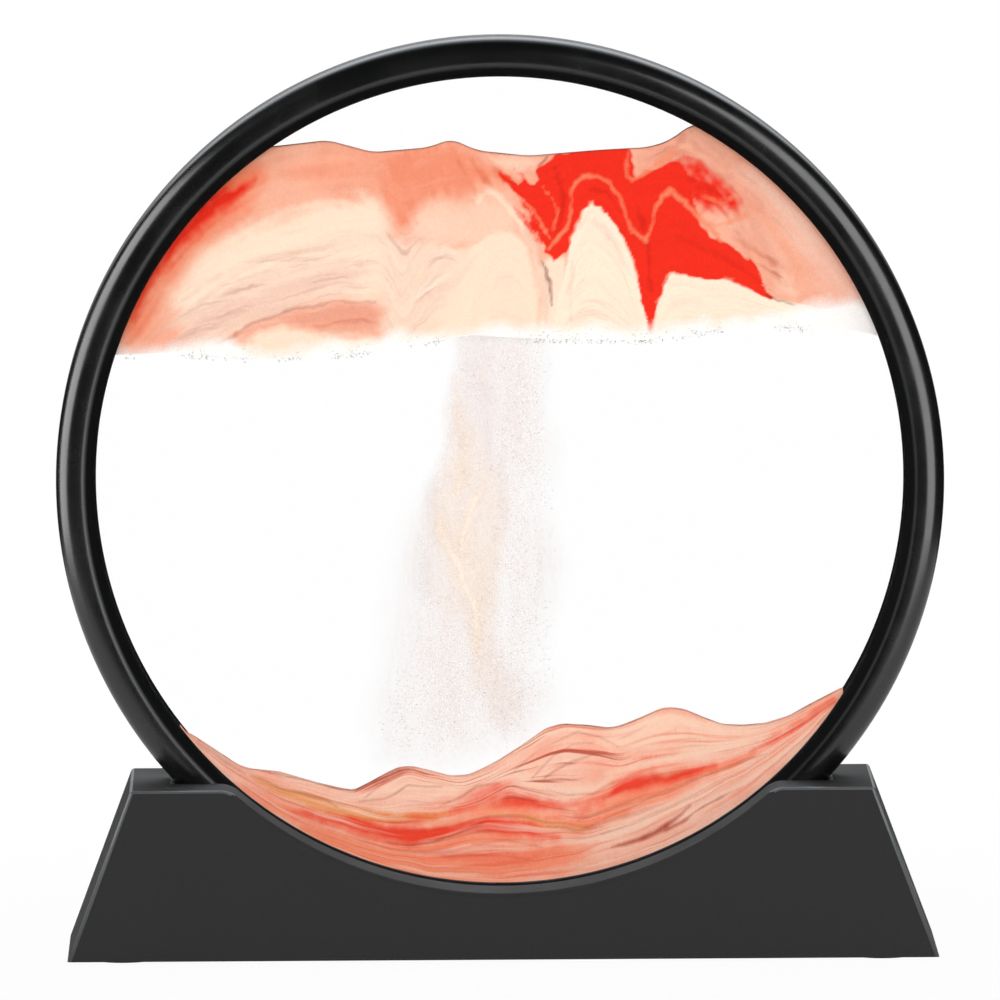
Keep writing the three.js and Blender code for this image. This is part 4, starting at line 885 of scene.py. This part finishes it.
        (8, 2, 0.35, [(-64, -52), (-50, -58), (-20, -64), (10, -62), (40, -54), (68, -42), (60, -54), (30, -74),
                      (0, -82), (-30, -76), (-52, -64)]),
    ],
    "look": {
        "name": "lower_dyed_sand", "ground": ("#fbb096", "#ffc9b1"), "grainSize": 0.4, "raggedSize": 1.2,
        "driftSize": 11, "speck": 0.04, "streak": 0.06,
        "layers": [
            ("pale", "#ffd6bf", 0.7, 0.3), ("cream", "#fed2b8", 0.85, 0.3), ("halo", "#ff8d69", 0.92, 0.3),
            ("orange", "#f3a268", 0.9, 0.3), ("rust", "#f98867", 0.5, 0.3), ("red", "#f33b26", 0.92, 0.3),
            ("whole", "#ffd3bb", 0.6, 34, 3.3, 0.52, 0.66), ("whole", "#f25f40", 0.5, 30, 4.7, 0.56, 0.68),
            ("veined", "#b94a35", 0.85, 24, 6.3, 0.56, 0.66), ("deep", "#b03423", 0.9, 0.3),
            ("dark", "#a03c28", 0.75, 0.1),
        ],
    },
}


def lowerSand():
    def cellFloor(x):
        return -np.sqrt(np.maximum(cell["radius"] ** 2 - x ** 2, 0))

    piece, (fine, broad) = sandMass("lower_sand", lower, lineHeight(lower["crest"]), cellFloor,
                                    ["lower_sand_salmon", "lower_sand_red", "lower_sand_peach"])
    piece.visible_glossy = False  # the black plastic below shows no sand in its gloss
    store(piece, "whole", np.ones(len(fine)))
    for mask, (ofBroad, ofFine, shift) in lower["shares"].items():
        store(piece, mask, np.clip(ofBroad * broad + ofFine * fine + shift, 0, 1))


lowerSand()


# Falling sand: a thin curtain of suspended fine sand, denser and cream in its core, with loose grains round it
fall = {
    "seed": 5, "grain": (0.1, 0.17), "flatness": 0.8, "halfDepth": 0.9, "gap": 0.3, "cloudReach": 1.7,
    # middle x and z, spread in x and z, number of grains
    "clouds": [(3.6, 11.9, 3.6, 9, 500), (4.2, -8.4, 4.2, 14, 800), (3.4, -32.8, 4.6, 12, 800),
               (-6.1, 7.8, 2.8, 10, 300), (-7.7, -10.4, 3.6, 8, 300), (-10.1, -34.8, 5.7, 10, 700),
               (-15.2, -47, 6, 7, 600), (-1, -45, 5, 7, 400), (1, 22, 6, 4, 300)],
    "veilSpan": (-36, 30), "veilGrid": (110, 170), "veilDepth": 0.3, "veilGap": 0.2, "veilSway": (0.8, 6, 70),
    # density, soft edge, tone (0 grey pink, 0.5 cream, 1 bright cream), outline
    "veil": [
        (0.32, 12, 0, [(2.6, 24), (5.4, 15), (9.6, 5), (6.8, -5), (10.8, -18), (7.4, -29), (5.6, -36), (8.6, -45),
                       (4.6, -52), (-1, -44.9), (-1.8, -24.6), (0, -4.4)]),
        (0.22, 11, 0.15, [(-14.2, -4.4), (-18.3, -12.5), (-20.7, -24.6), (-22.3, -36.8), (-25.4, -49), (-23.3, -56.1),
                          (-12.2, -58.1), (0, -54.1), (4.1, -48), (1, -38.9), (-4.1, -32.8), (-7.1, -26.7),
                          (-11.2, -16.5)]),
        (0.22, 6, 0.15, [(-12, -22), (-16, -34), (-14, -48), (-8, -54), (-5, -40), (-6, -28)]),
        (0.34, 7, 0.4, [(-15, -7), (-17.4, -14), (-16, -23), (-10.5, -28), (-5.5, -32), (-2.4, -26), (-2.2, -14),
                        (-8, -10)]),
        (0.35, 10, 0, [(-5, 32), (8, 32), (7.5, 16), (4.5, 6), (0, -1), (-4.5, 4)]),
        (0.4, 3, 0.05, [(-8.3, 30), (-0.5, 30), (-1.5, 14), (-2.5, 4), (-4.5, 3.4), (-10.3, 8.8), (-9.7, 18.4)]),
        (0.3, 4, 0, [(-4.6, 22, 1), (-3.5, 12, 1.2), (-2, 4, 1), (0.5, -2, 0.8)]),
        (0.5, 5, 0.25, [(-4.5, -26.7), (-1.2, -32.8), (1.6, -40.1), (3.7, -46.4), (1, -52), (-2, -48),
                        (-4.1, -40.9)]),
        (0.62, 5, 0.5, [(-8.8, 20), (-9.9, 15), (-10.3, 10.7), (-10.5, 5.4), (-14, -1.1), (-14.8, -4.4),
                        (-13.4, -10.4), (-11.4, -16.5), (-8.5, -22.6), (-6.5, -28.7), (-5.5, -36.8), (-5.1, -42.9),
                        (-3.9, -42.9), (-2.4, -32.8), (-1.2, -24.6), (-0.4, -19.8), (0.4, -13.5), (0.4, -7.4),
                        (1, -5), (0.4, -2.3), (-1.8, 2.1), (-4.3, 4.4), (-5.5, 9), (-7.4, 14)]),
        (0.35, 3, 0.1, [(-3.9, 4.4, 0.6), (0, -0.3, 1), (1, -6.4, 0.8), (-1.2, -12.5, 0.3)]),
        (0.85, 1.2, 1, [(-3.7, -2.4, 0.2), (-5.4, -5.6, 0.4), (-7.1, -8.6, 0.4), (-7.9, -13, 0.3), (-7.7, -17, 0.1)]),
        (0.85, 1.2, 1, [(-11.8, -12.5, 0.2), (-9.6, -16, 0.4), (-7.9, -18.4, 0.4), (-5.7, -25.3, 0.35),
                        (-4.9, -29.9, 0.3), (-4.9, -36, 0.1)]),
        (0.7, 1.6, 0.9, [(-12.6, -7.5, 0.3), (-11.9, -10.6, 0.5), (-10.6, -13, 0.3)]),
        (0.6, 1.6, 0.85, [(-6.6, 4.5, 0.2), (-8, 0, 0.5), (-9.6, -3.5, 0.4)]),
    ],
}


# Loose grains of the dyed sand: matt, each with a tone of its own
looseSand = {
    "name": "loose_dyed_sand", "shades": ("#fffdfa", "#f4ebe6", "#fbefe4"),
    "shader": {"Roughness": 0.85, "IOR": 1.33, "Specular IOR Level": 0.1},
}
# Fine sand hanging in the water: a speckle of 0.25 mm and wisps of 3 mm drawn out downwards, clear between
suspendedSand = {
    "name": "suspended_fine_sand", "shades": ("#e6dbd8", "#ecdccd", "#fcf2e6"),
    "dustSize": 0.25, "wispSize": 3, "wispStretch": (1, 1, 0.3),
    "shader": {"Roughness": 0.95, "Specular IOR Level": 0.0},
}


def fallingSand(look):
    material, tree = newMaterial(look["name"])
    tone = addNode(tree, "Attribute", {"attribute_name": "tone"}).outputs["Fac"]
    colour = addNode(tree, "ValToRGB", {}, {"Fac": tone})
    colour.color_ramp.elements.new(0.5)
    for stop, hexText in zip(colour.color_ramp.elements, look["shades"]):
        stop.color = linear(hexText)
    surface = addNode(tree, "BsdfPrincipled", look["shader"], {"Base Color": colour})
    if "wispSize" in look:
        place = addNode(tree, "TexCoord").outputs["Object"]
        drift = addNode(tree, "Mapping", {"Scale": look["wispStretch"]}, {"Vector": place})
        wisp = addNode(tree, "TexNoise", {"Scale": 1 / (look["wispSize"] * mm), "Detail": 5, "Roughness": 0.65},
                       {"Vector": drift})
        dust = addNode(tree, "TexNoise", {"Scale": 1 / (look["dustSize"] * mm), "Detail": 1}, {"Vector": place})
        lump = addNode(tree, "MapRange", {"From Min": 0.3, "From Max": 0.7, "To Min": 0.6, "To Max": 1.15},
                       {"Value": wisp})
        speckle = addNode(tree, "MapRange", {"From Min": 0.35, "From Max": 0.65, "To Min": 0.78, "To Max": 1.1},
                          {"Value": dust})
        dense = addNode(tree, "Attribute", {"attribute_name": "dense"}).outputs["Fac"]
        cloud = addNode(tree, "Math", {"operation": "MULTIPLY"}, {0: dense, 1: lump})
        share = addNode(tree, "Math", {"operation": "MULTIPLY", "use_clamp": True}, {0: cloud, 1: speckle})
        through = addNode(tree, "BsdfTransparent")
        surface = addNode(tree, "MixShader", {}, {0: share, 1: through, 2: surface})
    addNode(tree, "OutputMaterial", {}, {"Surface": surface})
    return material


def scatter(name, seedShape, places, material, standsFor):
    # one small shape set down at each place, given as position, size and turn
    shapeMesh = bpy.data.meshes.new(name + "_shape")
    seedShape.to_mesh(shapeMesh)
    count = len(seedShape.verts)
    seedShape.free()
    bm = bmesh.new()
    for _ in places:
        bm.from_mesh(shapeMesh)
    bm.verts.ensure_lookup_table()
    for number, (spot, size, turn) in enumerate(places):
        flattened = Matrix.Diagonal((size, size * fall["flatness"], size, 1))
        matrix = Matrix.Translation(spot) @ turn.to_matrix().to_4x4() @ flattened
        for vert in bm.verts[number * count:(number + 1) * count]:
            vert.co = matrix @ vert.co
    return makePiece(name, bm, material, "frame", standsFor), count


def fallingGrains():
    draw = random.Random(fall["seed"])
    topLine, crest = lineHeight(upper["bottom"], upper["ease"]), lineHeight(lower["crest"])
    places = []
    for cx, cz, spreadX, spreadZ, number in fall["clouds"]:
        for _ in range(number):
            across, down = draw.gauss(0, 1), draw.gauss(0, 1)
            x, z = cx + spreadX * across, cz + spreadZ * down
            y = draw.uniform(-fall["halfDepth"], fall["halfDepth"])
            size = draw.uniform(*fall["grain"])
            turn = Vector((draw.gauss(0, 1), draw.gauss(0, 1), draw.gauss(0, 1))).to_track_quat("Z", "Y")
            inCloud = math.hypot(across, down) < fall["cloudReach"]
            if inCloud and crest(x) + fall["gap"] < z < topLine(x) - fall["gap"]:
                places.append((Vector((x, y, z + cell["centre"])) * mm, size * mm, turn))
    bm = bmesh.new()
    bmesh.ops.create_cube(bm, size=1)
    piece, count = scatter("falling_grains", bm, places, fallingSand(looseSand), ["falling_sand"])
    store(piece, "tone", np.repeat([draw.random() for _ in places], count))


def fallingVeil():
    topLine, crest = lineHeight(upper["bottom"], upper["ease"]), lineHeight(lower["crest"])
    bm = hangSheet(fall["veilSpan"], *fall["veilGrid"], lambda x: float(crest(x)) + fall["veilGap"],
                   lambda x: float(topLine(x)) - fall["gap"], fall["veilDepth"])
    piece = makePiece("falling_veil", bm, fallingSand(suspendedSand), "frame", [])
    x, y, z = placesOf(piece)
    amount, size, seed = fall["veilSway"]
    x = x + amount * wobble(x, y, z, size, seed)
    clear = np.ones(len(x))
    tone = np.zeros(len(x))
    for most, width, shade, points in fall["veil"]:
        share = paint([(width, 0, most, points)], x, z, 0)
        clear *= 1 - share
        tone = tone * (1 - share) + shade * share
    piece.visible_shadow = False  # too thin to shade the sand below
    store(piece, "dense", 1 - clear)
    store(piece, "tone", tone)


fallingGrains()
fallingVeil()


# Bubbles: loose clusters of tiny air bubbles under the upper sand; the silvery bead that trapped air shows in water is
# painted into their colour as a painted reflection
bubbles = {
    "seed": 9, "number": 1000, "size": (0.12, 0.4), "span": (-76, 74), "rim": 81, "halfDepth": 1.5,
    "cluster": 7, "clusterRow": (0.5, 2), "crowding": (-0.1, 0.35), "spread": 0.8, "lowest": 1.4, "lift": 0.5,
    "clinging": 0.4, "paneSide": 1.83, "rise": 2.6, "riseCluster": 5, "riseRow": (3, 1),
    "look": {"name": "trapped_air", "colours": ("#cfcac6", "#f6f3f0"), "mottle": (0.5,),
             "shader": {"Roughness": 0.15, "IOR": 1.33}},
}


def bubbleRow():
    draw = random.Random(bubbles["seed"])
    line = lineHeight(upper["bottom"])
    upright = Vector((0, 0, 1)).to_track_quat("Z", "Y")
    places = []
    while len(places) < bubbles["number"]:
        x = draw.uniform(*bubbles["span"])
        if noise.noise((x / bubbles["cluster"], *bubbles["clusterRow"])) < draw.uniform(*bubbles["crowding"]):
            continue
        z = float(line(x)) - min(abs(draw.gauss(0, bubbles["spread"])), bubbles["lowest"]) + bubbles["lift"]
        if math.hypot(x, z) > bubbles["rim"]:
            continue
        y = draw.uniform(-bubbles["halfDepth"], bubbles["halfDepth"])
        if draw.random() < bubbles["clinging"]:  # some cling to a pane, in front of the sand
            y = math.copysign(bubbles["paneSide"], y)
            crowd = noise.noise((x / bubbles["riseCluster"], *bubbles["riseRow"]))
            z += bubbles["rise"] * draw.random() * (0.5 + crowd)
        places.append((Vector((x, y, z + cell["centre"])) * mm, draw.uniform(*bubbles["size"]) * mm, upright))
    bm = bmesh.new()
    bmesh.ops.create_icosphere(bm, subdivisions=1, radius=0.5)
    scatter("bubble_row", bm, places, solidMaterial(bubbles["look"]), ["bubble_layer"])


bubbleRow()
print("sand, grains and bubbles ready")


# Studio: pale floor, white backdrop from the world, large soft lights
studio = {
    # camera: lens and sensor, distance, turns in degrees, and how far below the ring's centre it aims
    "lens": 709.8, "sensor": 36, "farthest": 100, "distance": 4000, "yaw": -0.5, "pitch": 4.6, "roll": -0.3,
    "aimDrop": 4.36,
    # light from all round, and what gloss finds: a dark room that fades to white towards the backdrop
    "ambient": 0.3, "room": 0.02, "backdrop": (0, 0.8, 0.6), "backdropFade": (0.7, 1),
    # floor: share of white where the camera sees it, full from the end of its fade
    "floorRadius": 450, "floorSides": 96, "floorShare": 0.955, "floorFade": (120, 300), "lampAim": 90,
    # direction from the front (degrees to the left), height angle, distance, width, height (m), radiance, tint;
    # the strips are reflecting cards that only draw highlights, the fills light evenly and draw none
    "lamps": {
        "left_strip": (80, 8, 1.0, 0.85, 1.3, 4.2, "#ffffff"),
        "right_strip": (-43, 8, 1.0, 0.8, 1.3, 3.0, "#ffffff"),
        "rear_top_strip": (180, 42, 1.2, 1.6, 0.8, 1.4, "#e9f4ff"),
        "front_key_fill": (0, 8, 2.6, 1.2, 0.9, 8.4, "#ffffff"),
        "front_fill": (0, 26, 1.6, 2.4, 1.8, 0.9, "#ffffff"),
        "rear_fill": (180, 24, 1.6, 2.2, 1.6, 2.2, "#ffffff"),
    },
}


def seenPath(tree):
    # what the camera sees straight or through glass, and the light path itself
    path = addNode(tree, "LightPath")
    seen = addNode(tree, "Math", {"operation": "MAXIMUM"},
                   {0: path.outputs["Is Camera Ray"], 1: path.outputs["Is Transmission Ray"]})
    return seen, path


def backdrop():
    world = bpy.data.worlds.new("studio")
    scene.world = world
    world.use_nodes = True
    tree = world.node_tree
    tree.nodes.clear()
    seen, path = seenPath(tree)
    # reflections find the white backdrop behind and above, and a dark room in front
    towards = addNode(tree, "TexCoord").outputs["Generated"]
    behind = addNode(tree, "VectorMath", {"operation": "DOT_PRODUCT", 1: studio["backdrop"]}, {0: towards})
    start, end = studio["backdropFade"]
    mirrored = addNode(tree, "MapRange", {"From Min": start, "From Max": end, "To Min": studio["room"], "To Max": 1.0},
                       {"Value": behind.outputs["Value"]})
    lit = addNode(tree, "Mix", {2: studio["ambient"]}, {0: path.outputs["Is Glossy Ray"], 3: mirrored})
    strength = addNode(tree, "Mix", {3: 1.0}, {0: seen, 2: lit})
    light = addNode(tree, "Background", {"Color": linear("#ffffff")}, {"Strength": strength})
    addNode(tree, "OutputWorld", {}, {"Surface": light})


def floor():
    bm = bmesh.new()
    bmesh.ops.create_circle(bm, cap_ends=True, segments=studio["floorSides"], radius=studio["floorRadius"] * mm)
    slab = makeObject("floor", bm)
    material, tree = newMaterial("pale_paper")
    seen, _ = seenPath(tree)
    place = addNode(tree, "TexCoord").outputs["Object"]
    away = addNode(tree, "VectorMath", {"operation": "LENGTH"}, {0: place})
    near, far = studio["floorFade"]
    plain = addNode(tree, "MapRange",
                    {"From Min": near * mm, "From Max": far * mm, "To Min": studio["floorShare"], "To Max": 1.0},
                    {"Value": away.outputs["Value"]})
    part = addNode(tree, "Math", {"operation": "MULTIPLY"}, {0: seen, 1: plain})
    matt = addNode(tree, "BsdfDiffuse", {"Color": linear("#f2f2f2")})
    glow = addNode(tree, "Emission", {"Color": linear("#ffffff"), "Strength": 1.0})
    mixed = addNode(tree, "MixShader", {}, {0: part, 1: matt, 2: glow})
    addNode(tree, "OutputMaterial", {}, {"Surface": mixed})
    slab.data.materials.append(material)


def outwards(turn, lift):
    # the direction that lies so many degrees to the right of the front and so many up
    a, e = math.radians(turn), math.radians(lift)
    return Vector((math.sin(a) * math.cos(e), -math.cos(a) * math.cos(e), math.sin(e)))


def lamps():
    aim = Vector((0, 0, studio["lampAim"] * mm))
    for name, (turn, lift, distance, width, height, radiance, tint) in studio["lamps"].items():
        away = outwards(-turn, lift)
        data = bpy.data.lights.new(name, "AREA")
        data.shape = "RECTANGLE"
        data.size, data.size_y = width, height
        data.energy = radiance * math.pi * width * height
        data.color = linear(tint)[:3]
        lamp = bpy.data.objects.new(name, data)
        lamp.location = aim + away * distance
        lamp.rotation_euler = (-away).to_track_quat("-Z", "Y").to_euler()
        lamp.visible_camera = False
        lamp.visible_glossy = name.endswith("strip")
        lamp.visible_diffuse = name.endswith("fill")
        scene.collection.objects.link(lamp)


def camera():
    data = bpy.data.cameras.new("camera")
    data.lens = studio["lens"]
    data.sensor_width = studio["sensor"]
    data.clip_end = studio["farthest"]
    eye = bpy.data.objects.new("camera", data)
    middle = Vector((0, 0, cell["centre"] * mm))
    eye.location = middle + outwards(studio["yaw"], studio["pitch"]) * studio["distance"] * mm
    aim = middle - Vector((0, 0, studio["aimDrop"] * mm))
    upright = (aim - eye.location).to_track_quat("-Z", "Y").to_matrix()
    eye.rotation_euler = (upright @ Matrix.Rotation(math.radians(studio["roll"]), 3, "Z")).to_euler()
    scene.collection.objects.link(eye)
    scene.camera = eye


backdrop()
floor()
lamps()
camera()
scene.view_settings.view_transform = "Standard"
print("studio ready")
